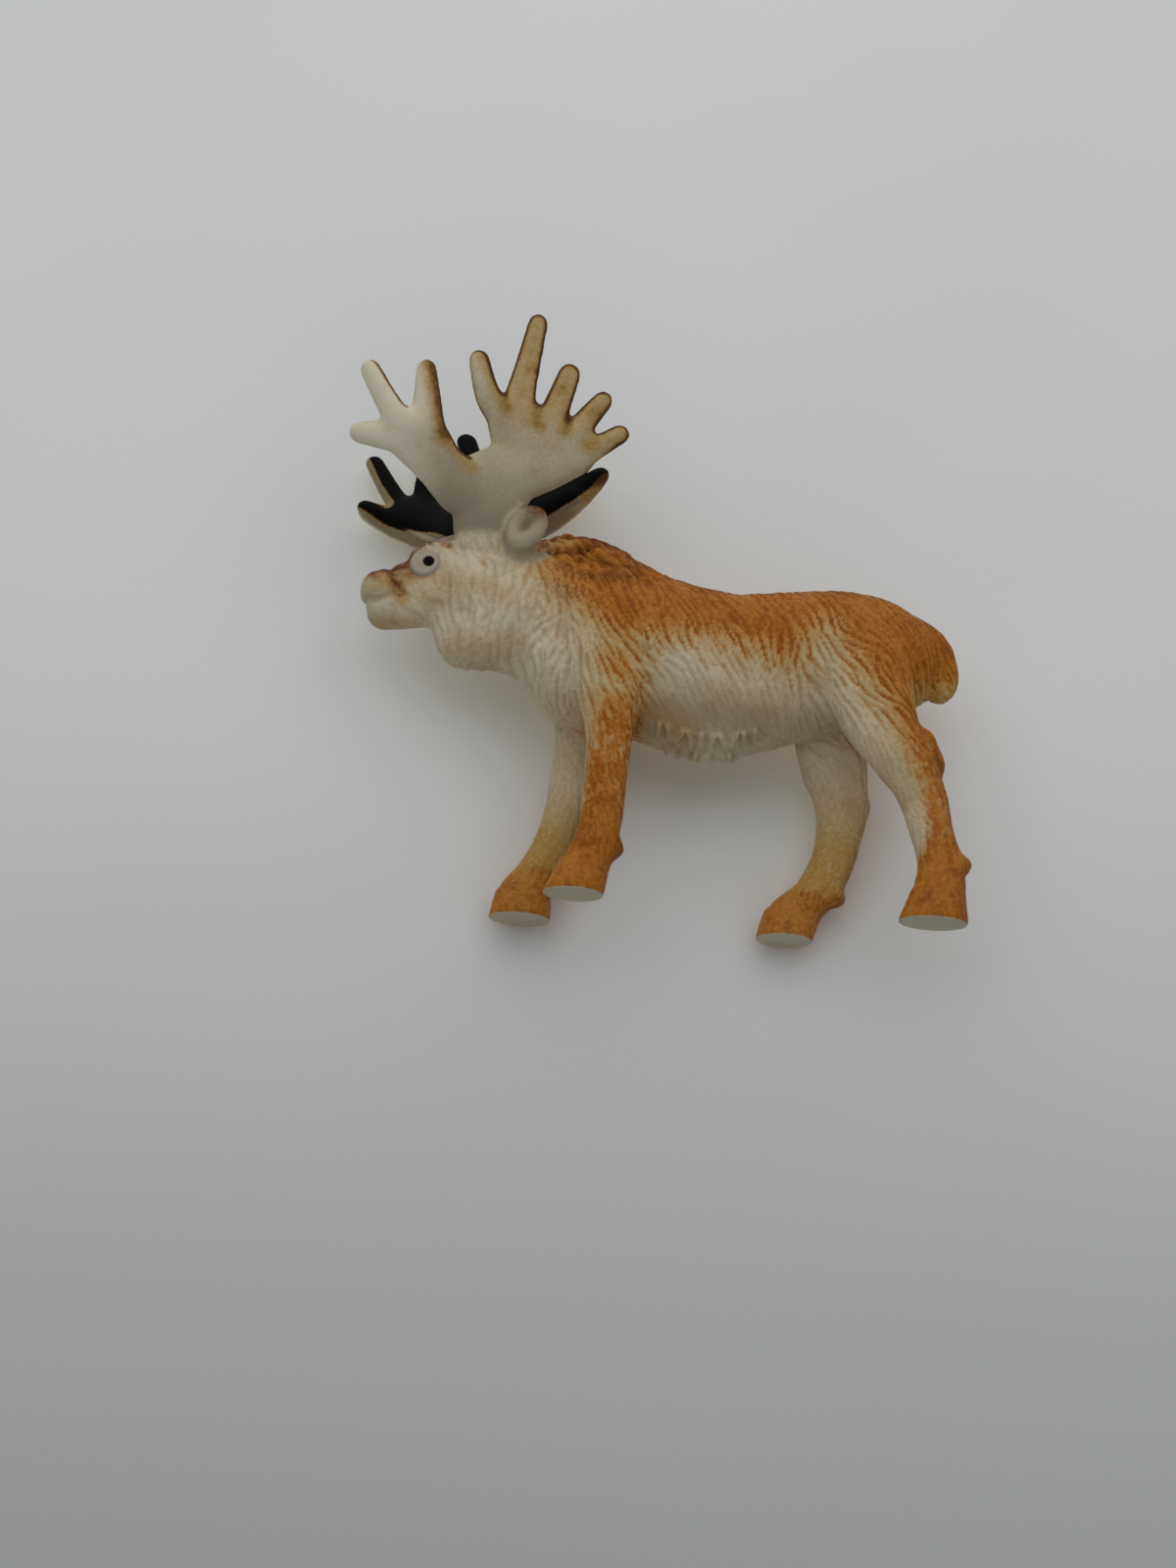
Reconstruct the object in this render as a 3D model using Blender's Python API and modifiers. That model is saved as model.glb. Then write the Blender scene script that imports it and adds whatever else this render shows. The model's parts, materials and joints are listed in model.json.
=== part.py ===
"""Moose figurine: a small toy moulded in one piece, standing on its four hooves.

The animal faces -X, its left side faces -Y and +Z is up. Sizes are metres, through the unit MM.
The form is drawn in millimetres on a figure of DRAWN_HEIGHT, as a sculptor roughs out clay: each
limb is a chain of balls, every two neighbours are wrapped in one skin, and all skins melt into one.
"""

from collections import namedtuple
from math import cos, radians, sin

import bmesh
import bpy
from mathutils import Matrix, Vector
from mathutils.bvhtree import BVHTree

# Driving dimensions
FIGURE_HEIGHT = 0.0633
DRAWN_HEIGHT = 63.3
MM = FIGURE_HEIGHT / DRAWN_HEIGHT
LEG_SPREAD = 4.75 * MM
ANTLER_THICKNESS = 1.75 * MM
EAR_THICKNESS = 2.0 * MM
EAR_HOLLOW_DEPTH = 0.9 * MM
EYE_RADIUS = 1.45 * MM
EYE_STANDOFF = 0.35 * MM
SKIN_GRAIN = 0.3 * MM
BODY_SOFTENING = 16
LAST_SOFTENING = 7
LOCK_RADIUS = 0.62 * MM
MOST_TRIANGLES = 8800

LEFT, RIGHT = -1, 1
COAT_COLOUR = (0.78, 0.62, 0.42, 1.0)
COAT_ROUGHNESS = 0.55

Ball = namedtuple("Ball", "x y z rx ry rz")


def clear_scene():
    for old in list(bpy.data.objects):
        bpy.data.objects.remove(old)


def new_collection(name):
    made = bpy.data.collections.new(name)
    bpy.context.scene.collection.children.link(made)
    return made


def coat_material():
    made = bpy.data.materials.new("painted_coat")
    made.use_nodes = True
    shader = made.node_tree.nodes["Principled BSDF"]
    shader.inputs["Base Color"].default_value = COAT_COLOUR
    shader.inputs["Roughness"].default_value = COAT_ROUGHNESS
    shader.inputs["Metallic"].default_value = 0.0
    return made


def between(a, b, c, d, t):
    """A point on the smooth curve that runs through b and c, with a before and d after."""
    return 0.5 * (
        2 * b + (c - a) * t + (2 * a - 5 * b + 4 * c - d) * t**2 + (3 * b - a - 3 * c + d) * t**3
    )


def smooth_chain(balls, steps):
    """The chain with steps - 1 further balls between every two, on a smooth curve."""
    ends = [balls[0], *balls, balls[-1]]
    chain = []
    for i in range(len(balls) - 1):
        four = ends[i : i + 4]
        for step in range(steps):
            chain.append(Ball(*(between(*values, step / steps) for values in zip(*four))))
    return [*chain, balls[-1]]


def wrap(clay, balls, turn=None, fineness=3):
    """Adds to clay the tight skin around these balls, turned about the first ball's centre."""
    skin = bmesh.new()
    for ball in balls:
        place = Matrix.Translation(Vector(ball[:3]))
        spin = turn or Matrix.Identity(4)
        size = Matrix.Diagonal((*ball[3:], 1.0))
        bmesh.ops.create_icosphere(
            skin, subdivisions=fineness, radius=1.0, matrix=place @ spin @ size
        )
    hull = bmesh.ops.convex_hull(skin, input=skin.verts)
    inner = {v for v in hull["geom_interior"] if isinstance(v, bmesh.types.BMVert)}
    inner |= {v for v in hull["geom_unused"] if isinstance(v, bmesh.types.BMVert)}
    bmesh.ops.delete(skin, geom=list(inner), context="VERTS")
    bmesh.ops.recalc_face_normals(skin, faces=skin.faces)
    bmesh.ops.scale(skin, vec=(MM, MM, MM), verts=skin.verts)
    mesh = bpy.data.meshes.new("skin")
    skin.to_mesh(mesh)
    skin.free()
    clay.from_mesh(mesh)
    bpy.data.meshes.remove(mesh)


def limb(clay, balls, steps=3, turn=None, fineness=3):
    chain = smooth_chain(balls, steps)
    for pair in zip(chain, chain[1:]):
        wrap(clay, pair, turn, fineness)


def centred(*rows):
    """Balls on the middle plane, from rows of x, z and the three radii."""
    return [Ball(x, 0.0, z, rx, ry, rz) for x, z, rx, ry, rz in rows]


def aside(side, *rows):
    """Balls on one side of the animal, from rows of x, y outwards, z and the three radii."""
    return [Ball(x, side * y, z, rx, ry, rz) for x, y, z, rx, ry, rz in rows]


def torso(clay):
    limb(
        clay,
        centred(
            (-11.5, 30.5, 4.0, 5.2, 8.2),
            (-6.5, 29.6, 4.4, 6.3, 9.2),
            (-1.0, 27.6, 4.6, 6.8, 9.0),
            (5.0, 26.6, 5.0, 6.7, 9.0),
            (11.0, 27.8, 5.0, 6.3, 8.5),
            (17.0, 29.5, 5.0, 6.1, 7.6),
            (22.0, 30.0, 4.0, 5.6, 6.7),
            (25.3, 29.8, 2.8, 4.4, 5.0),
        ),
        fineness=4,
    )


def hump(clay):
    limb(
        clay,
        centred(
            (-14.2, 36.8, 2.4, 2.8, 3.4),
            (-11.6, 37.4, 2.8, 3.3, 4.0),
            (-8.4, 37.0, 3.0, 3.7, 4.2),
            (-5.6, 35.5, 2.8, 3.9, 4.0),
            (-2.8, 33.9, 2.8, 4.0, 3.9),
            (1.5, 32.7, 4.0, 4.1, 3.8),
            (5.5, 32.0, 4.0, 4.1, 4.0),
        ),
    )


def tail(clay):
    limb(
        clay,
        centred(
            (24.8, 32.4, 2.6, 2.6, 3.2),
            (27.6, 30.9, 2.4, 1.9, 3.4),
            (28.9, 29.2, 2.1, 1.5, 3.1),
        ),
    )


def neck(clay):
    limb(
        clay,
        centred(
            (-11.0, 31.5, 4.4, 5.6, 8.2),
            (-15.0, 32.2, 4.2, 5.0, 7.6),
            (-18.6, 33.0, 3.8, 4.4, 6.6),
            (-21.8, 34.2, 3.0, 3.7, 5.2),
        ),
    )


def dewlap(clay):
    """The beard under the throat, and the chest hair that runs back from it to the forelegs."""
    limb(
        clay,
        centred(
            (-22.4, 30.8, 2.5, 2.6, 3.6),
            (-21.6, 28.7, 2.6, 2.7, 3.5),
            (-18.6, 29.0, 2.8, 3.5, 3.6),
            (-15.6, 29.4, 3.0, 4.2, 4.4),
            (-13.0, 27.8, 3.0, 4.8, 4.8),
            (-10.6, 25.6, 3.0, 5.0, 5.5),
            (-6.5, 24.8, 3.4, 5.4, 5.6),
        ),
    )


def head(clay):
    """The skull from the nape to the muzzle, which ends in the upper lip and the chin."""
    limb(
        clay,
        centred(
            (-19.6, 35.2, 3.0, 3.5, 4.3),
            (-22.8, 35.0, 2.8, 3.2, 4.6),
            (-25.3, 34.3, 2.2, 2.85, 4.7),
            (-27.4, 33.0, 1.9, 2.3, 3.9),
            (-29.2, 32.4, 2.0, 2.2, 3.6),
        ),
    )
    limb(clay, centred((-28.2, 33.2, 2.0, 2.1, 2.9), (-30.55, 33.25, 2.15, 2.4, 2.4)))
    limb(clay, centred((-27.6, 31.2, 2.0, 2.0, 2.0), (-29.9, 30.6, 1.8, 1.85, 1.85)))


def nostrils_and_brows(clay):
    for side in (LEFT, RIGHT):
        limb(
            clay,
            aside(
                side,
                (-31.3, 1.25, 34.3, 1.0, 0.95, 1.0),
                (-30.1, 1.75, 33.5, 1.0, 0.85, 1.0),
            ),
        )
        limb(
            clay,
            aside(
                side,
                (-26.9, 1.5, 36.9, 0.9, 0.8, 0.9),
                (-25.4, 1.9, 37.6, 1.0, 0.8, 0.9),
                (-23.8, 2.0, 37.6, 0.9, 0.8, 0.9),
            ),
        )


def eyes(clay):
    """A low round lens on each side of the skull."""
    radius = EYE_RADIUS / MM
    standoff = EYE_STANDOFF / MM
    for side in (LEFT, RIGHT):
        wrap(clay, aside(side, (-25.7, 2.0 + standoff, 35.5, radius, 1.1, radius)))


EAR_CENTRE = (-15.6, 5.5, 38.9)
EAR_RADII = (1.95, 3.25)
EAR_LEAN = radians(12.0)
EAR_FACING = radians(26.0)


def ear_turn(side):
    """The ear's upright oval leans back and opens outwards and a little forwards."""
    return Matrix.Rotation(EAR_LEAN, 4, "Y") @ Matrix.Rotation(side * EAR_FACING, 4, "Z")


def ears(clay):
    half = EAR_THICKNESS / MM / 2
    width, height = EAR_RADII
    for side in (LEFT, RIGHT):
        wrap(clay, aside(side, (*EAR_CENTRE, width, half, height)), ear_turn(side))
        limb(
            clay,
            aside(
                side,
                (-16.6, 2.6, 36.8, 1.6, 1.5, 1.7),
                (-15.9, 4.0, 37.6, 1.3, 1.2, 1.5),
                (-15.4, 5.0, 38.3, 1.2, 0.9, 1.5),
            ),
        )


# Each tine from its root in the palm to its tip: x, y outwards, z and radius
FRONT_TINES = {
    "brow": ((-29.4, 8.6, 46.8, 1.9), (-32.0, 8.3, 47.0, 1.5), (-33.9, 7.8, 47.3, 1.2)),
    "outer": ((-29.6, 9.4, 48.0, 1.6), (-31.4, 9.8, 50.4, 1.35), (-33.3, 10.0, 53.6, 1.1)),
    "inner": ((-27.4, 9.2, 47.5, 1.9), (-27.3, 9.9, 50.4, 1.5), (-27.5, 10.2, 54.1, 1.05)),
}
REAR_TINES = {
    "first": ((-20.0, 6.9, 49.0, 1.8), (-21.0, 7.9, 52.8, 1.4), (-22.2, 8.8, 56.6, 1.15)),
    "longest": ((-17.8, 6.8, 51.2, 1.8), (-17.3, 7.6, 56.2, 1.4), (-16.35, 8.2, 62.0, 1.1)),
    "third": ((-14.6, 6.0, 50.4, 1.6), (-13.5, 6.4, 54.2, 1.4), (-12.6, 6.8, 57.0, 1.25)),
    "fourth": ((-12.2, 5.0, 50.0, 1.5), (-10.3, 5.2, 53.0, 1.25), (-8.8, 5.4, 55.0, 1.1)),
    "last": ((-12.4, 4.2, 47.8, 1.6), (-9.3, 4.1, 49.9, 1.25), (-6.7, 3.9, 52.0, 1.05)),
}
STALK = ((-19.8, 2.6, 38.4, 3.3), (-19.9, 3.4, 41.2, 3.8), (-19.5, 4.4, 44.4, 4.1))
FRONT_PALM = ((-22.9, 5.1, 43.9, 2.6), (-25.4, 6.7, 45.0, 2.7), (-28.4, 8.3, 46.9, 2.7))
REAR_PALM = ((-18.0, 4.9, 45.6, 3.2), (-17.4, 5.6, 48.2, 3.2), (-16.6, 6.1, 50.0, 2.6))
REAR_LOWER_EDGE = ((-17.0, 4.2, 44.8, 2.0), (-14.0, 3.9, 46.4, 1.8), (-11.0, 3.8, 48.4, 1.6))
PALM_LEAN = radians(24.0)


def flat_balls(side, rows, thickness):
    """Balls pressed to the antler's thickness, which stand on one side of the head."""
    return aside(side, *((x, y, z, r, thickness, r) for x, y, z, r in rows))


def antlers(clay):
    """Two cupped palms that lean outwards, each forked into a front and a rear fan of tines."""
    thin = ANTLER_THICKNESS / MM / 2
    for side in (LEFT, RIGHT):
        lean = Matrix.Rotation(-side * PALM_LEAN, 4, "X")
        stalk = flat_balls(side, STALK, thin * 1.5)
        limb(clay, stalk, turn=lean)
        front = flat_balls(side, FRONT_PALM, thin * 1.1)
        rear = flat_balls(side, REAR_PALM, thin * 1.1)
        edge = flat_balls(side, REAR_LOWER_EDGE, thin)
        for part in (front, rear, edge):
            limb(clay, part, turn=lean)
        wrap(clay, (stalk[-1], front[0], rear[0]), turn=lean)
        wrap(clay, (stalk[-1], rear[0], edge[0]), turn=lean)
        fans = ((FRONT_TINES, front), (REAR_TINES, rear))
        for tines, palm in fans:
            fan = [flat_balls(side, rows, thin) for rows in tines.values()]
            for tine in fan:
                limb(clay, tine, turn=lean)
            for one, next_one in zip(fan, fan[1:]):
                wrap(clay, (palm[-1], one[0], next_one[0]), turn=lean)
                wrap(clay, (palm[1], one[0], next_one[0]), turn=lean)
        last = flat_balls(side, REAR_TINES["last"], thin)
        wrap(clay, (rear[0], edge[1], last[0]), turn=lean)


# Each leg from the top to the hoof: x, y outwards in units of the leg spread, z and three radii
LEFT_FORELEG = (
    (-8.6, 0.72, 31.0, 3.8, 2.9, 4.6),
    (-7.2, 0.84, 26.5, 3.9, 2.8, 4.4),
    (-6.0, 0.95, 21.8, 3.3, 2.6, 3.2),
    (-5.8, 1.02, 16.8, 2.4, 2.2, 2.4),
    (-5.9, 1.0, 11.5, 2.2, 2.05, 2.0),
    (-6.1, 1.0, 7.6, 2.2, 1.95, 1.8),
    (-6.6, 1.0, 5.0, 2.4, 2.05, 1.5),
)
RIGHT_FORELEG = (
    (-9.4, 0.72, 31.0, 3.8, 2.9, 4.6),
    (-8.4, 0.84, 25.5, 3.7, 2.8, 4.4),
    (-8.0, 0.95, 20.8, 3.0, 2.5, 3.2),
    (-8.9, 1.02, 15.8, 2.3, 2.15, 2.3),
    (-9.6, 1.0, 11.3, 2.1, 2.0, 2.0),
    (-10.6, 1.0, 7.6, 2.15, 1.95, 1.8),
    (-11.8, 1.0, 5.0, 2.4, 2.05, 1.5),
)
LEFT_HIND_LEG = (
    (20.6, 0.6, 29.6, 4.6, 3.0, 5.2),
    (20.6, 0.84, 25.2, 4.6, 2.9, 4.4),
    (21.7, 1.0, 20.8, 4.0, 2.5, 3.1),
    (23.9, 1.04, 17.0, 3.2, 2.3, 2.5),
    (26.0, 1.02, 13.6, 2.6, 2.1, 2.1),
    (26.9, 1.0, 10.2, 2.3, 1.95, 2.0),
    (27.8, 1.0, 7.2, 2.3, 1.95, 1.7),
    (28.1, 1.0, 5.2, 2.45, 2.05, 1.4),
)
RIGHT_HIND_LEG = (
    (19.6, 0.6, 29.6, 4.6, 3.0, 5.2),
    (18.2, 0.84, 24.6, 4.2, 2.9, 4.4),
    (18.4, 1.0, 19.8, 3.7, 2.5, 3.1),
    (19.4, 1.04, 15.4, 2.9, 2.2, 2.4),
    (19.2, 1.02, 11.6, 2.5, 2.05, 2.1),
    (18.4, 1.0, 8.2, 2.4, 1.95, 1.8),
    (17.2, 1.0, 5.6, 2.5, 2.05, 1.4),
)
SOLE_DEPTH = 0.9
CLAW_RADII = (1.15, 1.5, 0.95)
Hoof = namedtuple("Hoof", "side leg coronet sole claw")
# Under each leg a hoof: the coronet's x, z and radius, the sole's x and radius, the dewclaw's x and z
HOOVES = (
    Hoof(LEFT, LEFT_FORELEG, (-7.4, 3.2, 2.6), (-8.4, 3.15), (-4.6, 5.0)),
    Hoof(RIGHT, RIGHT_FORELEG, (-13.1, 2.7, 3.0), (-13.3, 3.3), (-9.7, 5.2)),
    Hoof(LEFT, LEFT_HIND_LEG, (27.8, 3.2, 2.85), (27.3, 3.65), (30.1, 6.3)),
    Hoof(RIGHT, RIGHT_HIND_LEG, (14.6, 2.9, 3.1), (13.8, 3.05), (19.1, 4.9)),
)
HOOF_WIDTH = 4.9


def legs(clay):
    spread = LEG_SPREAD / MM
    for hoof in HOOVES:
        rows = ((x, y * spread, z, rx, ry, rz) for x, y, z, rx, ry, rz in hoof.leg)
        leg = aside(hoof.side, *rows)
        limb(clay, leg)
        top_x, top_z, top_radius = hoof.coronet
        sole_x, sole_radius = hoof.sole
        coronet, sole = aside(
            hoof.side,
            (top_x, spread, top_z, top_radius, HOOF_WIDTH / 2 - 0.15, 1.3),
            (sole_x, spread, 0.0, sole_radius, HOOF_WIDTH / 2, SOLE_DEPTH),
        )
        wrap(clay, (leg[-1], coronet))
        wrap(clay, (coronet, sole))
        claw_x, claw_z = hoof.claw
        claw = aside(hoof.side, (claw_x, spread, claw_z, *CLAW_RADII))
        wrap(clay, (leg[-1], *claw))
    for side, x, z in ((LEFT, 26.8, 16.6), (RIGHT, 20.9, 15.0)):
        limb(clay, aside(side, (x - 1.0, spread, z + 2.2, 1.8, 1.6, 2.0), (x, spread, z, 1.7, 1.6, 1.6)))


# Tufts of the coat: where each row starts, the step along it and the way its hair falls, all as
# x and z, then how many tufts it has and how long they are
TUFT_ROWS = (
    ((-22.6, 33.2), (0.4, -1.7), (-0.1, -1.0), 3, 2.6),
    ((-20.6, 34.4), (0.35, -1.9), (0.1, -1.0), 4, 2.8),
    ((-18.4, 35.2), (0.3, -2.0), (0.2, -1.0), 4, 2.8),
    ((-16.2, 34.6), (0.3, -2.0), (0.3, -1.0), 4, 2.8),
    ((-14.0, 35.6), (0.25, -2.2), (0.4, -1.0), 5, 3.0),
    ((-11.8, 37.2), (0.4, -2.2), (0.5, -1.0), 5, 3.0),
    ((-9.4, 37.6), (0.6, -2.2), (0.6, -1.0), 4, 3.0),
    ((-6.8, 37.0), (0.7, -2.2), (0.6, -1.0), 3, 2.8),
)


def tufts(clay, skin):
    """Locks of hair that lie half sunk in the skin of the neck, the beard and the shoulders."""
    radius = LOCK_RADIUS / MM
    for start, step, fall, count, length in TUFT_ROWS:
        for side in (LEFT, RIGHT):
            for i in range(count):
                x, z = start[0] + step[0] * i, start[1] + step[1] * i
                lock = []
                for share, size in ((0.0, 0.75), (0.45, 1.0), (1.0, 0.5)):
                    px, pz = x + fall[0] * length * share, z + fall[1] * length * share
                    origin = Vector((px, side * 40.0, pz)) * MM
                    spot = skin.ray_cast(origin, Vector((0.0, -side, 0.0)))[0]
                    if spot is not None:
                        r = radius * size
                        lock.append(Ball(*(spot / MM - Vector((0.0, side * 0.6 * r, 0.0))), r, r, r))
                for pair in zip(lock, lock[1:]):
                    wrap(clay, pair, fineness=2)


def model(name, shapes):
    """A mesh of overlapping skins, still to be melted into one."""
    clay = bmesh.new()
    for shape in shapes:
        shape(clay)
    mesh = bpy.data.meshes.new(name)
    clay.to_mesh(mesh)
    clay.free()
    return mesh


def melt_and_soften(figure, passes):
    melt = figure.modifiers.new("melt", "REMESH")
    melt.mode = "VOXEL"
    melt.voxel_size = SKIN_GRAIN
    soften = figure.modifiers.new("soften", "SMOOTH")
    soften.factor = 0.5
    soften.iterations = passes


def evaluated_mesh(figure):
    return figure.evaluated_get(bpy.context.evaluated_depsgraph_get()).data


def model_clay(workshop):
    """The softened body with its sharper parts added: hair, eyes, ears and antlers."""
    body = bpy.data.objects.new("body", model("body", (torso, hump, tail, neck, dewlap, head, nostrils_and_brows, legs)))
    workshop.objects.link(body)
    melt_and_soften(body, BODY_SOFTENING)
    clay = bmesh.new()
    clay.from_mesh(evaluated_mesh(body))
    skin = BVHTree.FromBMesh(clay)
    tufts(clay, skin)
    for shape in (eyes, ears, antlers):
        shape(clay)
    mesh = bpy.data.meshes.new("moose")
    clay.to_mesh(mesh)
    clay.free()
    bpy.data.objects.remove(body)
    return mesh


def cutter(name, mesh, collection):
    made = bpy.data.objects.new(name, mesh)
    made.hide_render = True
    made.display_type = "WIRE"
    collection.objects.link(made)
    return made


def ear_hollow(side, collection):
    """The oval scoop that opens the ear outwards."""
    width, height = EAR_RADII
    half = EAR_THICKNESS / MM / 2
    depth = EAR_HOLLOW_DEPTH / MM
    x, y, z = EAR_CENTRE
    outwards = ear_turn(side) @ Vector((0.0, side * half, 0.0))
    centre = Vector((x, side * y, z)) + outwards
    size = Matrix.Diagonal((0.66 * width, depth, 0.72 * height, 1.0))
    scoop = bmesh.new()
    bmesh.ops.create_icosphere(
        scoop, subdivisions=3, radius=1.0, matrix=Matrix.Translation(centre) @ ear_turn(side) @ size
    )
    bmesh.ops.scale(scoop, vec=(MM, MM, MM), verts=scoop.verts)
    mesh = bpy.data.meshes.new("ear_hollow")
    scoop.to_mesh(mesh)
    scoop.free()
    return cutter(f"ear_hollow_{'left' if side == LEFT else 'right'}", mesh, collection)


def ground_block(collection):
    """The block under the hooves, which cuts the soles flat."""
    length, width, depth = 90.0 * MM, 40.0 * MM, 6.0 * MM
    block = bmesh.new()
    bmesh.ops.create_cube(
        block,
        size=1.0,
        matrix=Matrix.Translation((0.0, 0.0, -depth / 2)) @ Matrix.Diagonal((length, width, depth, 1.0)),
    )
    mesh = bpy.data.meshes.new("ground_block")
    block.to_mesh(mesh)
    block.free()
    return cutter("ground_block", mesh, collection)


def carve(figure, name, tool):
    cut = figure.modifiers.new(name, "BOOLEAN")
    cut.operation = "DIFFERENCE"
    cut.object = tool


def stand_on_origin(figure, cutters):
    """Moves all so that the middle of the figure's box stands on the origin."""
    corners = [vertex.co for vertex in evaluated_mesh(figure).vertices]
    middle = [(min(axis) + max(axis)) / 2 for axis in zip(*corners)]
    lowest = min(corner.z for corner in corners)
    for moved in (figure, *cutters.objects):
        moved.location = (-middle[0], -middle[1], -lowest)


def build():
    clear_scene()
    parts = new_collection("moose_figurine")
    cutters = new_collection("cutters")
    figure = bpy.data.objects.new("moose", model_clay(parts))
    figure.data.materials.append(coat_material())
    parts.objects.link(figure)

    melt_and_soften(figure, LAST_SOFTENING)
    fine_triangles = sum(len(face.vertices) - 2 for face in evaluated_mesh(figure).polygons)
    thin_out = figure.modifiers.new("thin_out", "DECIMATE")
    thin_out.ratio = MOST_TRIANGLES / fine_triangles
    for side in (LEFT, RIGHT):
        carve(figure, "open_ear", ear_hollow(side, cutters))
    carve(figure, "flatten_soles", ground_block(cutters))
    stand_on_origin(figure, cutters)


build()
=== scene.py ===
# %% [markdown]
# # A moulded moose, from clay to paint
# The real thing is a palm-sized toy animal, cast in one piece of soft cream plastic. A mask and an
# airbrush put orange-brown paint on its back and legs, a brush made the inner antlers black, and
# the fur is cut into the mould. This script rebuilds it the way a toy sculptor works: rough clay,
# smoothing, carving the hair, then paint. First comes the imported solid, which fixes size and place.

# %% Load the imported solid
import json
from collections import namedtuple
from math import cos, radians, sin

import bmesh
import bpy
import numpy as np
from mathutils import Matrix, Vector
from mathutils.bvhtree import BVHTree

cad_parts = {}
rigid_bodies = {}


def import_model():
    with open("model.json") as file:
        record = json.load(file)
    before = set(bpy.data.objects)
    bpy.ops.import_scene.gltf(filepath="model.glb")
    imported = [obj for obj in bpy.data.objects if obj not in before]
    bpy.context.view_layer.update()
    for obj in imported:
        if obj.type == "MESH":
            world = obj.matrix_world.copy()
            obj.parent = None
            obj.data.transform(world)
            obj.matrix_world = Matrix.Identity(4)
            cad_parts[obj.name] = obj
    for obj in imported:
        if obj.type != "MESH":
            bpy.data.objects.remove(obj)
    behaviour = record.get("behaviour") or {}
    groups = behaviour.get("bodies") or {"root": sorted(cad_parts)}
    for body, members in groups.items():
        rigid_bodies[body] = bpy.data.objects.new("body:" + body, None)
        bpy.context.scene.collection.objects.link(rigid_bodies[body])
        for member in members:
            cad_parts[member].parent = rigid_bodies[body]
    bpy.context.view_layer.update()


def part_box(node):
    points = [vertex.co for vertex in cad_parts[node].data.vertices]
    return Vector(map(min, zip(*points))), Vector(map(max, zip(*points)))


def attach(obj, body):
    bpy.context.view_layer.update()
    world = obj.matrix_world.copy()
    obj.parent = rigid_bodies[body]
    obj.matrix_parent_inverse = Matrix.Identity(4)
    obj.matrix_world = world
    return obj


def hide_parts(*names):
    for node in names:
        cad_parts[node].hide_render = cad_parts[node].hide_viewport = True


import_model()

# %% [markdown]
# ## One drawing for everything
# All sizes below are millimetres on a side-view drawing of the animal: x runs from the head to the
# tail, z up from the soles, and y sideways, with the animal's left side at negative y. The packed
# solid stands with the middle of its box on the origin, so one offset along x takes the drawing
# into the frame. Working in plain millimetres keeps each number something that can be measured.

# %% The drawing's unit and its place in the frame
MM = 0.001
DRAWN_FRONT = -34.99
LEFT, RIGHT = -1, 1
OFFSET = Vector((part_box("moose")[0].x / MM - DRAWN_FRONT, 0.0, 0.0))
print("offset of the drawing in mm:", tuple(round(v, 3) for v in OFFSET))


def to_frame(x, y, z):
    """A point of the drawing as a point of the frame, in metres."""
    return (Vector((x, y, z)) + OFFSET) * MM


def new_object(name, data):
    """An object with this data, linked to the scene."""
    made = bpy.data.objects.new(name, data)
    bpy.context.scene.collection.objects.link(made)
    return made


def mesh_of(shape, name):
    """The shape as a new mesh. The shape itself is used up."""
    mesh = bpy.data.meshes.new(name)
    shape.to_mesh(mesh)
    shape.free()
    return mesh


# %% [markdown]
# ## The camera
# The toy was photographed lying on its right side on a sheet of paper, by a phone that looked
# slightly up at the soles of its hooves. Standing the toy up doesn't change the picture as long as
# the camera turns with it, so this camera is below the soles and looks up at the animal's left
# side, a little towards its face. Its roll is what makes the soles run downhill to the right.

# %% Aim the camera
CAMERA_TARGET = (-7.4, 0.0, 13.5)
CAMERA_DISTANCE = 240.0
CAMERA_BELOW = radians(21.0)
CAMERA_AHEAD = radians(2.4)
CAMERA_ROLL = radians(3.9)

toward_camera = Vector(
    (
        -sin(CAMERA_AHEAD) * cos(CAMERA_BELOW),
        -cos(CAMERA_AHEAD) * cos(CAMERA_BELOW),
        -sin(CAMERA_BELOW),
    )
)
camera_data = bpy.data.cameras.new("camera")
camera_data.lens = 54.0
camera_data.sensor_width = 36.0
camera_data.clip_start = 0.001
camera = new_object("camera", camera_data)
level = (-toward_camera).to_track_quat("-Z", "Y")
camera.rotation_mode = "QUATERNION"
camera.rotation_quaternion = level @ Matrix.Rotation(CAMERA_ROLL, 4, "Z").to_quaternion()
camera.location = to_frame(*CAMERA_TARGET) + toward_camera * CAMERA_DISTANCE * MM
bpy.context.scene.camera = camera
bpy.context.scene.view_settings.view_transform = "Standard"
print("camera at", tuple(round(v, 4) for v in camera.location))

# %% [markdown]
# ## Clay: balls wrapped in skins
# An animal has no flat faces or turned profiles, so boxes and lathes are no help. A sculptor starts
# with balls of clay strung along each limb. Here a ball is an ellipsoid, every two neighbours on a
# chain are wrapped in their convex hull, and a smooth curve adds further balls in between. A voxel
# remesh then melts the overlapping skins into one, and smoothing rounds the seams off.

# %% Balls, chains and skins
Ball = namedtuple("Ball", "x y z rx ry rz")


def between(a, b, c, d, t):
    """A value on the smooth curve that runs through b and c, with a before and d after."""
    return 0.5 * (
        2 * b + (c - a) * t + (2 * a - 5 * b + 4 * c - d) * t**2 + (3 * b - a - 3 * c + d) * t**3
    )


def smooth_chain(balls, steps):
    """The chain with steps - 1 further balls between every two."""
    ends = [balls[0], *balls, balls[-1]]
    chain = []
    for i in range(len(balls) - 1):
        four = ends[i : i + 4]
        for step in range(steps):
            chain.append(Ball(*(between(*values, step / steps) for values in zip(*four))))
    return [*chain, balls[-1]]


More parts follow.
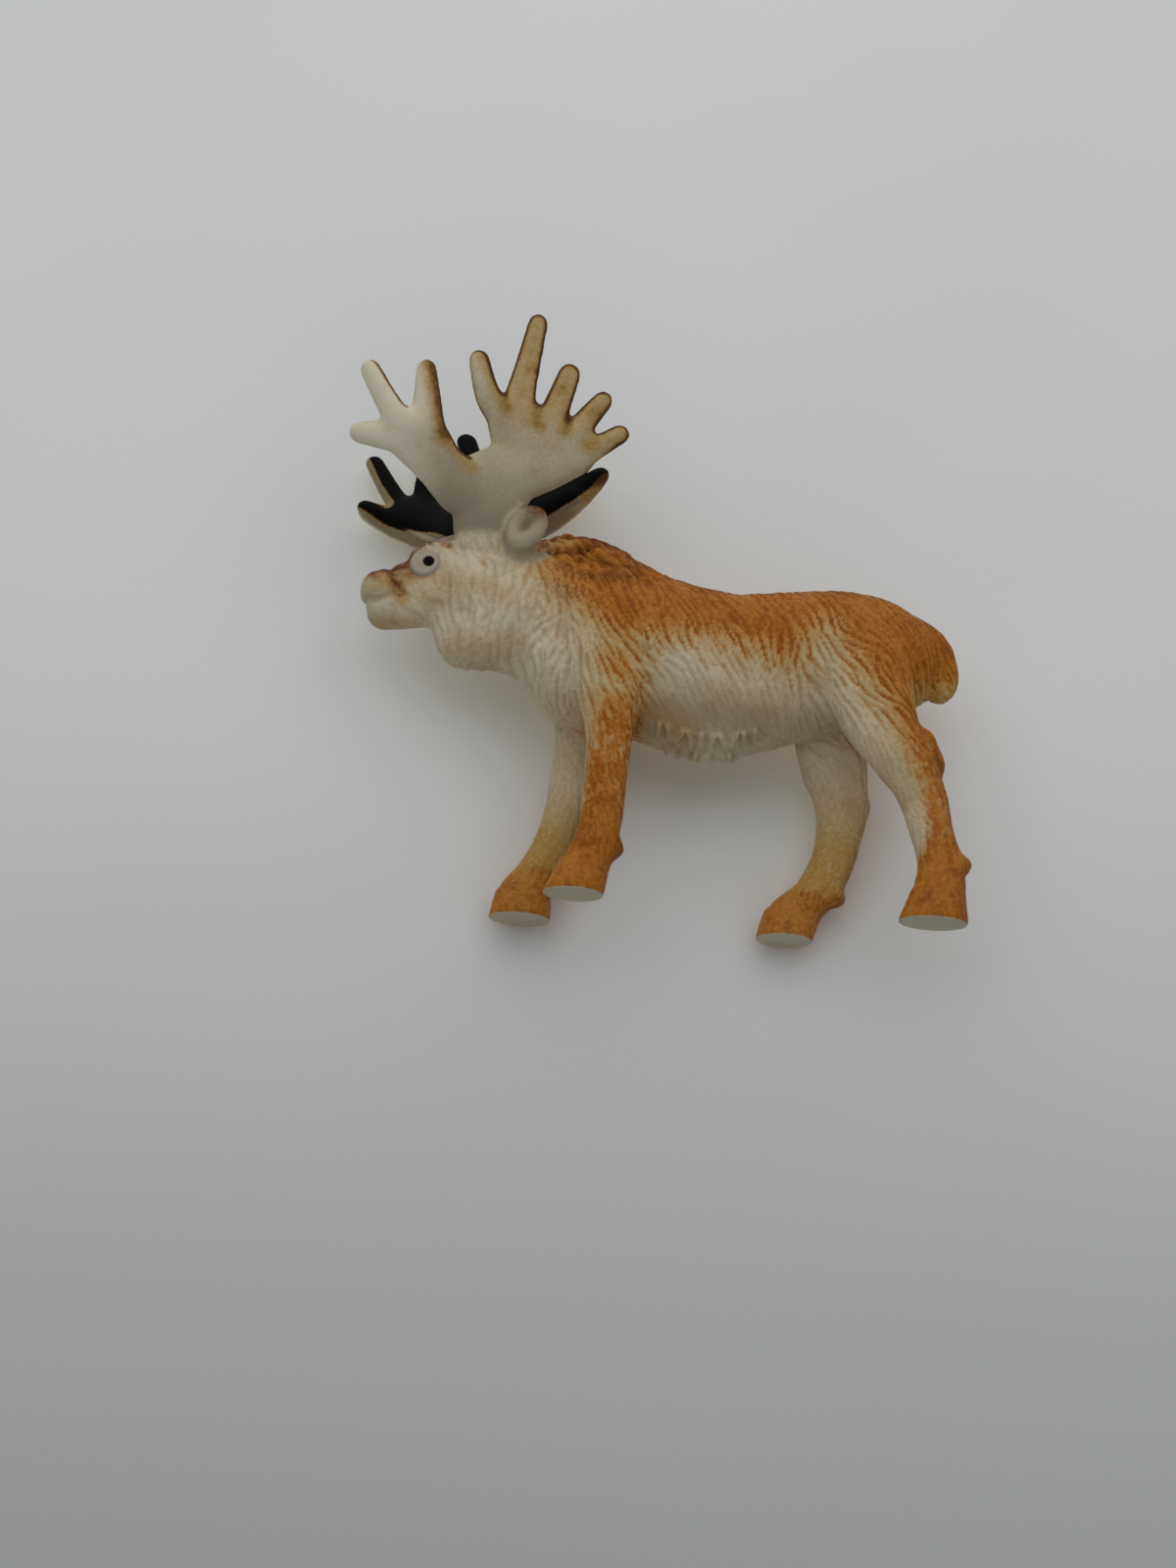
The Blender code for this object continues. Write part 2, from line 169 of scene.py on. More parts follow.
def wrap(clay, balls, turn=None, fineness=3):
    """Adds to clay the tight skin round these balls, each turned about its own centre."""
    skin = bmesh.new()
    for ball in balls:
        place = Matrix.Translation(Vector(ball[:3])) @ (turn or Matrix.Identity(4))
        size = Matrix.Diagonal((*ball[3:], 1.0))
        bmesh.ops.create_icosphere(skin, subdivisions=fineness, radius=1.0, matrix=place @ size)
    hull = bmesh.ops.convex_hull(skin, input=skin.verts)
    inside = hull["geom_interior"] + hull["geom_unused"]
    spare = {v for v in inside if isinstance(v, bmesh.types.BMVert)}
    bmesh.ops.delete(skin, geom=list(spare), context="VERTS")
    bmesh.ops.recalc_face_normals(skin, faces=skin.faces)
    mesh = mesh_of(skin, "skin")
    clay.from_mesh(mesh)
    bpy.data.meshes.remove(mesh)


def limb(clay, balls, steps=3, turn=None, fineness=3):
    chain = smooth_chain(balls, steps)
    for pair in zip(chain, chain[1:]):
        wrap(clay, pair, turn, fineness)


def centred(*rows):
    """Balls on the middle plane, from rows of x, z and three radii."""
    return [Ball(x, 0.0, z, rx, ry, rz) for x, z, rx, ry, rz in rows]


def aside(side, *rows):
    """Balls on one side, from rows of x, y outwards, z and three radii."""
    return [Ball(x, side * y, z, rx, ry, rz) for x, y, z, rx, ry, rz in rows]


# %% [markdown]
# ## Trunk, neck and head
# The barrel is deepest behind the forelegs and tapers to the rump, the hump rides on the shoulders
# and the beard hangs from the throat. Each is one chain. The muzzle is drawn as an upper and a
# lower chain, because the heavy upper lip that overhangs the chin is what makes a moose.

# %% Chains of the trunk
BARREL = centred(
    (-11.5, 30.5, 4.0, 5.2, 8.2),
    (-6.5, 29.6, 4.4, 6.3, 9.2),
    (-1.0, 27.6, 4.6, 6.8, 9.0),
    (5.0, 26.6, 5.0, 6.7, 9.0),
    (11.0, 27.8, 5.0, 6.3, 8.5),
    (17.0, 29.5, 5.0, 6.1, 7.6),
    (22.0, 30.0, 4.0, 5.6, 6.7),
    (25.3, 29.8, 2.8, 4.4, 5.0),
)
HUMP = centred(
    (-14.2, 36.8, 2.4, 2.8, 3.4),
    (-11.6, 37.3, 2.8, 3.3, 3.8),
    (-8.4, 36.9, 3.0, 3.7, 4.0),
    (-5.6, 35.5, 2.8, 3.9, 4.0),
    (-2.8, 33.9, 2.8, 4.0, 3.9),
    (1.5, 32.7, 4.0, 4.1, 3.8),
    (5.5, 32.0, 4.0, 4.1, 4.0),
)
TAIL = centred(
    (24.8, 32.4, 2.6, 2.6, 3.2),
    (27.6, 30.9, 2.4, 1.9, 3.4),
    (28.6, 28.8, 2.2, 1.5, 3.3),
)
NECK = centred(
    (-11.0, 31.5, 4.4, 5.6, 8.2),
    (-15.0, 32.2, 4.2, 5.0, 7.6),
    (-18.6, 33.0, 3.8, 4.4, 6.6),
    (-21.8, 34.2, 3.0, 3.7, 5.2),
)
BEARD = centred(
    (-22.4, 30.8, 2.5, 2.6, 3.6),
    (-21.6, 28.7, 2.6, 2.7, 3.5),
    (-18.6, 29.0, 2.8, 3.5, 3.6),
    (-15.6, 29.4, 3.0, 4.2, 4.4),
    (-13.0, 27.8, 3.0, 4.8, 4.8),
    (-10.6, 25.6, 3.0, 5.0, 5.5),
    (-6.5, 24.8, 3.4, 5.4, 5.6),
)
SKULL = centred(
    (-19.6, 35.2, 3.0, 3.5, 4.3),
    (-22.8, 35.0, 2.8, 3.2, 4.6),
    (-25.3, 34.3, 2.2, 2.85, 4.7),
    (-27.4, 33.0, 1.9, 2.3, 3.9),
    (-29.2, 32.4, 2.0, 2.2, 3.6),
)
UPPER_LIP = centred((-28.4, 33.4, 2.0, 2.1, 3.0), (-30.5, 33.0, 2.2, 2.4, 2.2))
FORELOCK = centred((-24.7, 38.3, 1.3, 1.6, 1.2), (-22.6, 39.0, 1.8, 1.8, 1.5))
CHIN = centred((-27.6, 31.2, 2.0, 2.0, 2.0), (-29.9, 30.6, 1.8, 1.85, 1.85))
NOSTRIL = ((-31.2, 1.25, 33.8, 1.0, 0.95, 1.0), (-30.1, 1.75, 33.5, 1.0, 0.85, 1.0))
BROW = (
    (-26.9, 1.5, 36.9, 0.9, 0.8, 0.9),
    (-25.4, 1.9, 37.6, 1.0, 0.8, 0.9),
    (-23.8, 2.0, 37.6, 0.9, 0.8, 0.9),
)

clay = bmesh.new()
limb(clay, BARREL, fineness=4)
for chain in (HUMP, TAIL, NECK, BEARD, SKULL, UPPER_LIP, FORELOCK, CHIN):
    limb(clay, chain)
for side in (LEFT, RIGHT):
    for rows in (NOSTRIL, BROW):
        limb(clay, aside(side, *rows))
print("trunk and head:", len(clay.faces), "faces of clay")

# %% [markdown]
# ## Legs and hooves
# The toy is caught mid-step, so every leg has its own bend. Each row is a ball's x, its distance
# from the middle plane as a share of the leg spread, its height and its three radii. A hoof is a
# coronet wrapped to a sole, with a dewclaw behind. The soles go below zero here, and a plane cuts
# them flat once the clay has melted, which gives the bare, level undersides of the moulding.

# %% Chains of the legs
LEG_SPREAD = 4.75
HOOF_WIDTH = 4.9
CLAW_RADII = (1.15, 1.5, 0.95)
LEFT_FORELEG = (
    (-8.6, 0.72, 31.0, 3.8, 2.9, 4.6),
    (-7.2, 0.84, 26.5, 3.9, 2.8, 4.4),
    (-6.0, 0.95, 21.8, 3.3, 2.6, 3.2),
    (-5.8, 1.02, 16.8, 2.4, 2.2, 2.4),
    (-5.9, 1.0, 11.5, 2.2, 2.05, 2.0),
    (-6.1, 1.0, 7.6, 2.2, 1.95, 1.8),
    (-6.6, 1.0, 5.0, 2.4, 2.05, 1.5),
)
RIGHT_FORELEG = (
    (-9.4, 0.72, 31.0, 3.8, 2.9, 4.6),
    (-8.4, 0.84, 25.5, 3.7, 2.8, 4.4),
    (-8.0, 0.95, 20.8, 3.0, 2.5, 3.2),
    (-8.9, 1.02, 15.8, 2.3, 2.15, 2.3),
    (-9.6, 1.0, 11.3, 2.1, 2.0, 2.0),
    (-10.6, 1.0, 7.6, 2.15, 1.95, 1.8),
    (-11.8, 1.0, 5.0, 2.4, 2.05, 1.5),
)
LEFT_HIND_LEG = (
    (20.6, 0.6, 29.6, 4.6, 3.0, 5.2),
    (20.6, 0.84, 25.2, 4.6, 2.9, 4.4),
    (21.7, 1.0, 20.8, 4.0, 2.5, 3.1),
    (23.9, 1.04, 17.0, 3.2, 2.3, 2.5),
    (26.0, 1.02, 13.6, 2.6, 2.1, 2.1),
    (26.9, 1.0, 10.2, 2.3, 1.95, 2.0),
    (27.8, 1.0, 7.2, 2.3, 1.95, 1.7),
    (28.1, 1.0, 5.2, 2.45, 2.05, 1.4),
)
RIGHT_HIND_LEG = (
    (19.6, 0.6, 29.6, 4.6, 3.0, 5.2),
    (18.2, 0.84, 24.6, 4.2, 2.9, 4.4),
    (18.4, 1.0, 19.8, 3.7, 2.5, 3.1),
    (19.4, 1.04, 15.4, 2.9, 2.2, 2.4),
    (19.2, 1.02, 11.6, 2.5, 2.05, 2.1),
    (18.4, 1.0, 8.2, 2.4, 1.95, 1.8),
    (17.2, 1.0, 5.6, 2.5, 2.05, 1.4),
)
# Each hoof: the coronet's x, z and radius, the sole's x and radius, the dewclaw's x and z
HOOVES = (
    (LEFT, LEFT_FORELEG, (-7.4, 3.2, 2.6), (-8.4, 3.15), (-4.6, 5.0)),
    (RIGHT, RIGHT_FORELEG, (-13.1, 2.7, 3.0), (-13.3, 3.3), (-9.7, 5.2)),
    (LEFT, LEFT_HIND_LEG, (27.8, 3.2, 2.85), (27.3, 3.65), (30.1, 6.3)),
    (RIGHT, RIGHT_HIND_LEG, (14.6, 2.9, 3.1), (13.8, 3.05), (19.1, 4.9)),
)
HOCKS = ((LEFT, 26.8, 16.6), (RIGHT, 20.9, 15.0))

for side, rows, (top_x, top_z, top_r), (sole_x, sole_r), (claw_x, claw_z) in HOOVES:
    leg = aside(side, *((x, y * LEG_SPREAD, z, rx, ry, rz) for x, y, z, rx, ry, rz in rows))
    limb(clay, leg)
    coronet, sole, claw = aside(
        side,
        (top_x, LEG_SPREAD, top_z, top_r, HOOF_WIDTH / 2 - 0.15, 1.3),
        (sole_x, LEG_SPREAD, 0.0, sole_r, HOOF_WIDTH / 2, 0.9),
        (claw_x, LEG_SPREAD, claw_z, *CLAW_RADII),
    )
    for pair in ((leg[-1], coronet), (coronet, sole), (leg[-1], claw)):
        wrap(clay, pair)
for side, x, z in HOCKS:
    hock = ((x - 1.0, LEG_SPREAD, z + 2.2, 1.8, 1.6, 2.0), (x, LEG_SPREAD, z, 1.7, 1.6, 1.6))
    limb(clay, aside(side, *hock))
print("with legs:", len(clay.faces), "faces of clay")

# %% [markdown]
# ## Melting the clay
# A voxel remesh keeps only the outer skin of everything that overlaps, in even little squares. The
# Smooth modifier then works like a wet thumb: many weak passes round off the joints between the
# balls. The trunk and legs are melted by themselves first, because they take far more thumbing than
# the thin antlers could bear.


# %% Melt and smooth
def melted(clay, name, grain, passes):
    """A new mesh, in the drawing's millimetres: the clay, used up, melted to one smooth skin."""
    rough = mesh_of(clay, name)
    worker = new_object(name, rough)
    melt = worker.modifiers.new("melt", "REMESH")
    melt.mode = "VOXEL"
    melt.voxel_size = grain
    soften = worker.modifiers.new("soften", "SMOOTH")
    soften.factor = 0.5
    soften.iterations = passes
    seen = worker.evaluated_get(bpy.context.evaluated_depsgraph_get())
    made = bpy.data.meshes.new_from_object(seen)
    bpy.data.objects.remove(worker)
    bpy.data.meshes.remove(rough)
    return made


BODY_GRAIN, BODY_PASSES = 0.3, 16
body_mesh = melted(clay, "smooth_body", BODY_GRAIN, BODY_PASSES)
print("melted body:", len(body_mesh.polygons), "faces")

# %% [markdown]
# ## Tufts of the mane
# The bigger locks of the mane, the beard and the shoulders stand up from the coat and can be felt.
# Each is a short chain of small balls. A ray from the side finds the skin, so that every lock lies
# on it, half sunk, wherever the body swells or turns.

# %% Lay the tufts on the skin
LOCK_RADIUS = 0.62
# Where each row starts, the step along it and the fall of its hair, as x and z, then the number
# of tufts and their length
TUFT_ROWS = (
    ((-22.6, 33.2), (0.4, -1.7), (-0.1, -1.0), 3, 2.6),
    ((-20.6, 34.4), (0.35, -1.9), (0.1, -1.0), 4, 2.8),
    ((-18.4, 35.2), (0.3, -2.0), (0.2, -1.0), 4, 2.8),
    ((-16.2, 34.6), (0.3, -2.0), (0.3, -1.0), 4, 2.8),
    ((-14.0, 35.6), (0.25, -2.2), (0.4, -1.0), 5, 3.0),
    ((-11.8, 37.2), (0.4, -2.2), (0.5, -1.0), 5, 3.0),
    ((-9.4, 37.6), (0.6, -2.2), (0.6, -1.0), 4, 3.0),
    ((-6.8, 37.0), (0.7, -2.2), (0.6, -1.0), 3, 2.8),
)

clay = bmesh.new()
clay.from_mesh(body_mesh)
bpy.data.meshes.remove(body_mesh)
skin_tree = BVHTree.FromBMesh(clay)
for start, step, fall, count, length in TUFT_ROWS:
    for side in (LEFT, RIGHT):
        for i in range(count):
            lock = []
            for share, size in ((0.0, 0.75), (0.45, 1.0), (1.0, 0.5)):
                x = start[0] + step[0] * i + fall[0] * length * share
                z = start[1] + step[1] * i + fall[1] * length * share
                ray_start = Vector((x, side * 40.0, z))
                spot = skin_tree.ray_cast(ray_start, Vector((0.0, -side, 0.0)))[0]
                r = LOCK_RADIUS * size
                lock.append(Ball(*(spot - Vector((0.0, side * 0.6 * r, 0.0))), r, r, r))
            for pair in zip(lock, lock[1:]):
                wrap(clay, pair, fineness=2)
print("with tufts:", len(clay.faces), "faces of clay")

# %% [markdown]
# ## Ears
# An ear is a thick oval leaf on a short root. Its opening faces outwards and a little forwards. On
# the toy it is one soft lump with a shallow dish, so the dish is pressed in after the melt, when
# there are enough points to press.

# %% Ears
EAR_CENTRE = (-15.8, 5.3, 39.2)
EAR_RADII = (2.2, 2.85)
EAR_THICKNESS = 2.3
EAR_LEAN, EAR_FACING = radians(20.0), radians(22.0)
EAR_ROOT = (
    (-16.8, 2.6, 36.6, 1.7, 1.5, 1.7),
    (-16.3, 4.0, 37.3, 1.5, 1.2, 1.5),
    (-16.0, 4.8, 38.2, 1.5, 0.9, 1.6),
)


def ear_turn(side):
    return Matrix.Rotation(EAR_LEAN, 4, "Y") @ Matrix.Rotation(side * EAR_FACING, 4, "Z")


for side in (LEFT, RIGHT):
    leaf = aside(side, (*EAR_CENTRE, EAR_RADII[0], EAR_THICKNESS / 2, EAR_RADII[1]))
    wrap(clay, leaf, ear_turn(side), 4)
    limb(clay, aside(side, *EAR_ROOT))

# %% [markdown]
# ## Antlers
# Each antler is a flat, cupped palm that leans outwards and forks into a front and a rear fan. Flat
# balls, pressed to the thickness of the casting and turned with the palm, make it: the stalk, the
# two palms, and each tine from its root to its tip. Skins over three neighbours fill the webs. The
# two antlers aren't quite alike, so the right one has some tines of its own and thicker lower lips.

# %% Antler tables
# Each row: x, y outwards, z and radius
FRONT_TINES = {
    "brow": ((-29.4, 8.6, 46.8, 1.9), (-32.0, 8.3, 47.0, 1.5), (-33.9, 7.8, 47.3, 1.2)),
    "outer": ((-29.6, 9.4, 48.0, 1.6), (-31.4, 9.8, 50.4, 1.35), (-33.3, 10.0, 53.6, 1.15)),
    "inner": ((-26.9, 9.2, 47.5, 2.1), (-27.1, 9.9, 50.4, 1.6), (-27.5, 10.2, 54.1, 1.15)),
}
REAR_TINES = {
    "first": ((-19.3, 7.0, 51.5, 1.9), (-20.9, 7.9, 52.8, 1.5), (-22.2, 8.8, 56.6, 1.2)),
    "longest": ((-17.8, 6.9, 52.3, 1.9), (-17.2, 7.6, 56.2, 1.5), (-16.35, 8.2, 62.0, 1.15)),
    "third": ((-14.5, 6.0, 50.6, 1.7), (-13.4, 6.4, 54.2, 1.5), (-12.6, 6.8, 57.0, 1.3)),
    "fourth": ((-11.9, 5.0, 50.3, 1.6), (-10.2, 5.2, 53.0, 1.35), (-8.8, 5.4, 55.0, 1.15)),
    "last": ((-11.6, 4.2, 48.1, 1.8), (-9.3, 4.1, 49.9, 1.35), (-6.7, 3.9, 52.0, 1.15)),
}
RIGHT_FRONT_TINES = {
    "brow": ((-29.4, 8.6, 46.1, 1.6), (-31.9, 8.4, 46.4, 1.3), (-33.6, 8.0, 46.8, 1.05)),
    "outer": ((-29.5, 9.4, 47.6, 1.6), (-31.3, 9.8, 50.2, 1.35), (-33.2, 10.0, 53.4, 1.15)),
    "inner": ((-26.9, 9.2, 47.5, 2.1), (-27.1, 9.9, 51.0, 1.5), (-27.5, 10.2, 55.3, 1.1)),
}
RIGHT_REAR_TINES = {
    "first": ((-20.2, 6.9, 49.2, 1.8), (-21.6, 7.9, 52.0, 1.4), (-23.2, 8.8, 56.5, 1.25)),
    "longest": ((-17.8, 6.8, 51.0, 1.8), (-17.4, 7.6, 55.6, 1.4), (-16.9, 8.2, 60.4, 1.15)),
    "third": REAR_TINES["third"],
    "fourth": ((-12.2, 5.0, 49.8, 1.5), (-10.8, 5.2, 52.2, 1.25), (-9.6, 5.4, 54.0, 1.15)),
    "last": ((-12.6, 4.2, 47.8, 1.6), (-10.4, 4.1, 49.4, 1.3), (-8.1, 3.9, 51.2, 1.1)),
}
STALK = ((-19.8, 2.6, 38.4, 3.3), (-19.9, 3.4, 41.2, 3.8), (-19.5, 4.4, 44.4, 4.1))
FRONT_PALM = ((-22.7, 4.9, 43.3, 2.95), (-25.4, 6.7, 45.0, 2.7), (-28.4, 8.3, 46.9, 2.7))
REAR_PALM = ((-17.7, 4.9, 45.6, 3.2), (-17.1, 5.6, 48.2, 3.1), (-16.4, 6.1, 50.0, 2.6))
RIGHT_LIP = (
    (-33.2, 8.5, 46.3, 1.1), (-30.0, 8.7, 44.9, 1.4), (-26.6, 7.8, 43.4, 1.5),
    (-22.8, 6.0, 41.6, 1.5),
)
RIGHT_REAR_LIP = (
    (-15.4, 4.6, 43.8, 1.4), (-13.2, 4.6, 45.2, 1.3), (-10.6, 4.6, 47.8, 1.2),
    (-8.5, 4.1, 50.3, 1.0),
)
LOWER_EDGE = ((-17.0, 4.2, 44.8, 2.0), (-14.0, 3.9, 46.4, 1.8), (-11.0, 3.8, 48.4, 1.6))
ANTLER_THICKNESS = 1.75
PALM_LEAN = radians(24.0)


def pressed(side, rows, thickness):
    """Flat balls of this half thickness, which stand on one side of the head."""
    return aside(side, *((x, y, z, r, thickness, r) for x, y, z, r in rows))


# %% Wrap the antlers
thin = ANTLER_THICKNESS / 2
for side, front_tines, rear_tines in (
    (LEFT, FRONT_TINES, REAR_TINES),
    (RIGHT, RIGHT_FRONT_TINES, RIGHT_REAR_TINES),
):
    lean = Matrix.Rotation(-side * PALM_LEAN, 4, "X")
    stalk, edge = pressed(side, STALK, thin * 1.5), pressed(side, LOWER_EDGE, thin)
    front, rear = pressed(side, FRONT_PALM, thin * 1.1), pressed(side, REAR_PALM, thin * 1.1)
    for chain in (stalk, front, rear, edge):
        limb(clay, chain, turn=lean)
    wrap(clay, (stalk[-1], front[0], rear[0]), lean)
    wrap(clay, (stalk[-1], rear[0], edge[0]), lean)
    for tines, palm in ((front_tines, front), (rear_tines, rear)):
        fan = [pressed(side, rows, thin) for rows in tines.values()]
        for tine in fan:
            limb(clay, tine, turn=lean)
        for one, other in zip(fan, fan[1:]):
            wrap(clay, (palm[-1], one[0], other[0]), lean)
            wrap(clay, (palm[1], one[0], other[0]), lean)
    wrap(clay, (rear[0], edge[1], pressed(side, rear_tines["last"], thin)[0]), lean)
for rows in (RIGHT_LIP, RIGHT_REAR_LIP):
    limb(clay, pressed(RIGHT, rows, thin))

# %% [markdown]
# ## One casting
# The toy is a single moulding, so ears, antlers and tufts melt into the body in a second, finer
# remesh, and no seam is left at their roots. Small even squares matter from here on, because the
# hair is carved by moving their corners. A plane then cuts the soles flat. The fill of the cut is
# triangulated at once, because a face with hundreds of corners shades badly.

# %% Melt everything and cut the soles
CASTING_GRAIN, CASTING_PASSES = 0.225, 9
# The antlers get more smoothing than the fur could bear, from this height upwards
ANTLER_FOOT, ANTLER_PASSES = 42.6, 14
ALL_WAYS = {"use_axis_x": True, "use_axis_y": True, "use_axis_z": True}


def cut_rim(shape, place, normal, **cleared):
    """Cuts the shape with a plane, drops the cleared side and gives the edges of the cut."""
    everything = shape.verts[:] + shape.edges[:] + shape.faces[:]
    sliced = bmesh.ops.bisect_plane(
        shape, geom=everything, plane_co=place, plane_no=normal, **cleared
    )
    return [e for e in sliced["geom_cut"] if isinstance(e, bmesh.types.BMEdge)]


def close(shape, rim):
    """Closes the rim with triangulated lids and gives their number."""
    lids = bmesh.ops.contextual_create(shape, geom=rim)["faces"]
    bmesh.ops.triangulate(shape, faces=lids)
    return len(lids)


casting = melted(clay, "casting", CASTING_GRAIN, CASTING_PASSES)
cut = bmesh.new()
cut.from_mesh(casting)
antler_corners = [v for v in cut.verts if v.co.z > ANTLER_FOOT]
for _ in range(ANTLER_PASSES):
    bmesh.ops.smooth_vert(cut, verts=antler_corners, factor=0.5, **ALL_WAYS)
sole_rim = cut_rim(cut, (0.0, 0.0, 0.0), (0.0, 0.0, 1.0), clear_inner=True)
sole_count = close(cut, sole_rim)
cut.to_mesh(casting)
cut.free()
print("casting:", len(casting.polygons), "faces with", sole_count, "soles")

# %% [markdown]
# ## Strokes and stencils seen from the side
# Creases, rows of marks and the airbrush all follow paths that are easiest to draw in the side
# view. Two helpers measure them on the skin: how near a point is to a path, and whether it lies
# inside an outline, both with soft edges. The same helpers then carve and paint.


# %% Strokes and stencils
def smoothstep(low, high, value):
    t = np.clip((value - low) / (high - low), 0.0, 1.0)
    return t * t * (3 - 2 * t)


def gap_to(flat, start, end):
    """Distance of each side-view point from the line between two others."""
    start, run = np.array(start), np.array(end) - np.array(start)
    share = np.clip(((flat - start) @ run) / (run @ run + 1e-9), 0.0, 1.0)
    return np.linalg.norm(flat - start - share[:, None] * run, axis=1)


def nearness(points, path, reach):
    """1 on the path through these x and z, falling smoothly to 0 at the reach."""
    flat = points[:, [0, 2]]
    nearest = np.min([gap_to(flat, *ends) for ends in zip(path, path[1:])], axis=0)
    return 1.0 - smoothstep(0.0, reach, nearest)


def covered(points, outline, blur):
    """1 inside an outline of x and z, 0 outside, with an edge that fades this far each way."""
    flat = points[:, [0, 2]]
    nearest = np.full(len(points), np.inf)
    inside = np.zeros(len(points), dtype=bool)
    for start, end in zip(outline, (*outline[1:], outline[0])):
        nearest = np.minimum(nearest, gap_to(flat, start, end))
        crosses = (start[1] > flat[:, 1]) != (end[1] > flat[:, 1])
        rise = end[1] - start[1] + 1e-9
        inside ^= crosses & (flat[:, 0] < start[0] + (flat[:, 1] - start[1]) / rise * (end[0] - start[0]))
    return smoothstep(-blur, blur, np.where(inside, nearest, -nearest))


# %% [markdown]
# ## Solid noise
# Nothing on a hand-cut mould is quite even. Random numbers on the corners of a cubic lattice,
# blended smoothly in between, give a value at every place in space, so nothing stretches where the
# body curves away. A fixed seed gives the same toy on every run.


# %% Noise field
def noise_field(cell, seed):
    """A function that gives smooth random values, with bumps about two cells wide."""
    low = np.array([-42.0, -22.0, -6.0])
    counts = np.ceil(np.array([84.0, 44.0, 78.0]) / cell).astype(int) + 2
    lattice = np.random.default_rng(seed).standard_normal(counts, dtype=np.float32)

    def values(points):
        where = (points - low) / cell
        base = np.clip(np.floor(where).astype(int), 0, counts - 2)
        share = (where - base).astype(np.float32)
        share = share * share * (3 - 2 * share)
        x, y, z = base.T
        sx, sy, sz = share.T
        layers = []
        for dz in (0, 1):
            near = lattice[x, y, z + dz] * (1 - sx) + lattice[x + 1, y, z + dz] * sx
            far = lattice[x, y + 1, z + dz] * (1 - sx) + lattice[x + 1, y + 1, z + dz] * sx
            layers.append(near * (1 - sy) + far * sy)
        return layers[0] * (1 - sz) + layers[1] * sz

    return values


# %% Read the skin
def skin_of(mesh):
    """Positions and normals of a mesh's vertices, as arrays."""
    count = len(mesh.vertices)
    points = np.empty(count * 3)
    normals = np.empty(count * 3)
    mesh.vertices.foreach_get("co", points)
    mesh.vertices.foreach_get("normal", normals)
    return points.reshape(-1, 3), normals.reshape(-1, 3)


points, normals = skin_of(casting)
x, y, z = points.T
on_ear = np.zeros(len(points))
dish = np.zeros(len(points))
for side in (LEFT, RIGHT):
    turn = np.array(ear_turn(side).to_3x3())
    local = (points - np.array([EAR_CENTRE[0], side * EAR_CENTRE[1], EAR_CENTRE[2]])) @ turn
    oval = np.hypot(local[:, 0] / EAR_RADII[0], local[:, 2] / EAR_RADII[1])
    own = y * side > 3.6
    on_ear = np.maximum(on_ear, own * (1.0 - smoothstep(1.05, 1.4, oval)))
    shape = 1.0 - smoothstep(0.05, 0.78, oval)
    dish = np.maximum(dish, shape * smoothstep(0.0, 0.5, local[:, 1] * side))
on_antler = np.maximum(
    smoothstep(42.0, 43.0, z), smoothstep(38.2, 39.6, z) * smoothstep(-16.4, -17.2, x)
) * (1.0 - on_ear)
off_antler = 1.0 - on_antler
on_fur = off_antler * (1.0 - on_ear)
print(len(points), "points,", int((on_antler > 0.5).sum()), "of them on the antlers")

# %% [markdown]
# ## Combing the hair
# Fur on a mould is a field of short grooves that all follow the hair. So the hair needs a direction
# everywhere. A few guides say which way it falls and how deep it is cut, each at a point of the
# side view, and every point of the skin takes the average of the guides, the near ones counting
# most. From the spine the hair parts outwards, and under the belly it closes inwards again.

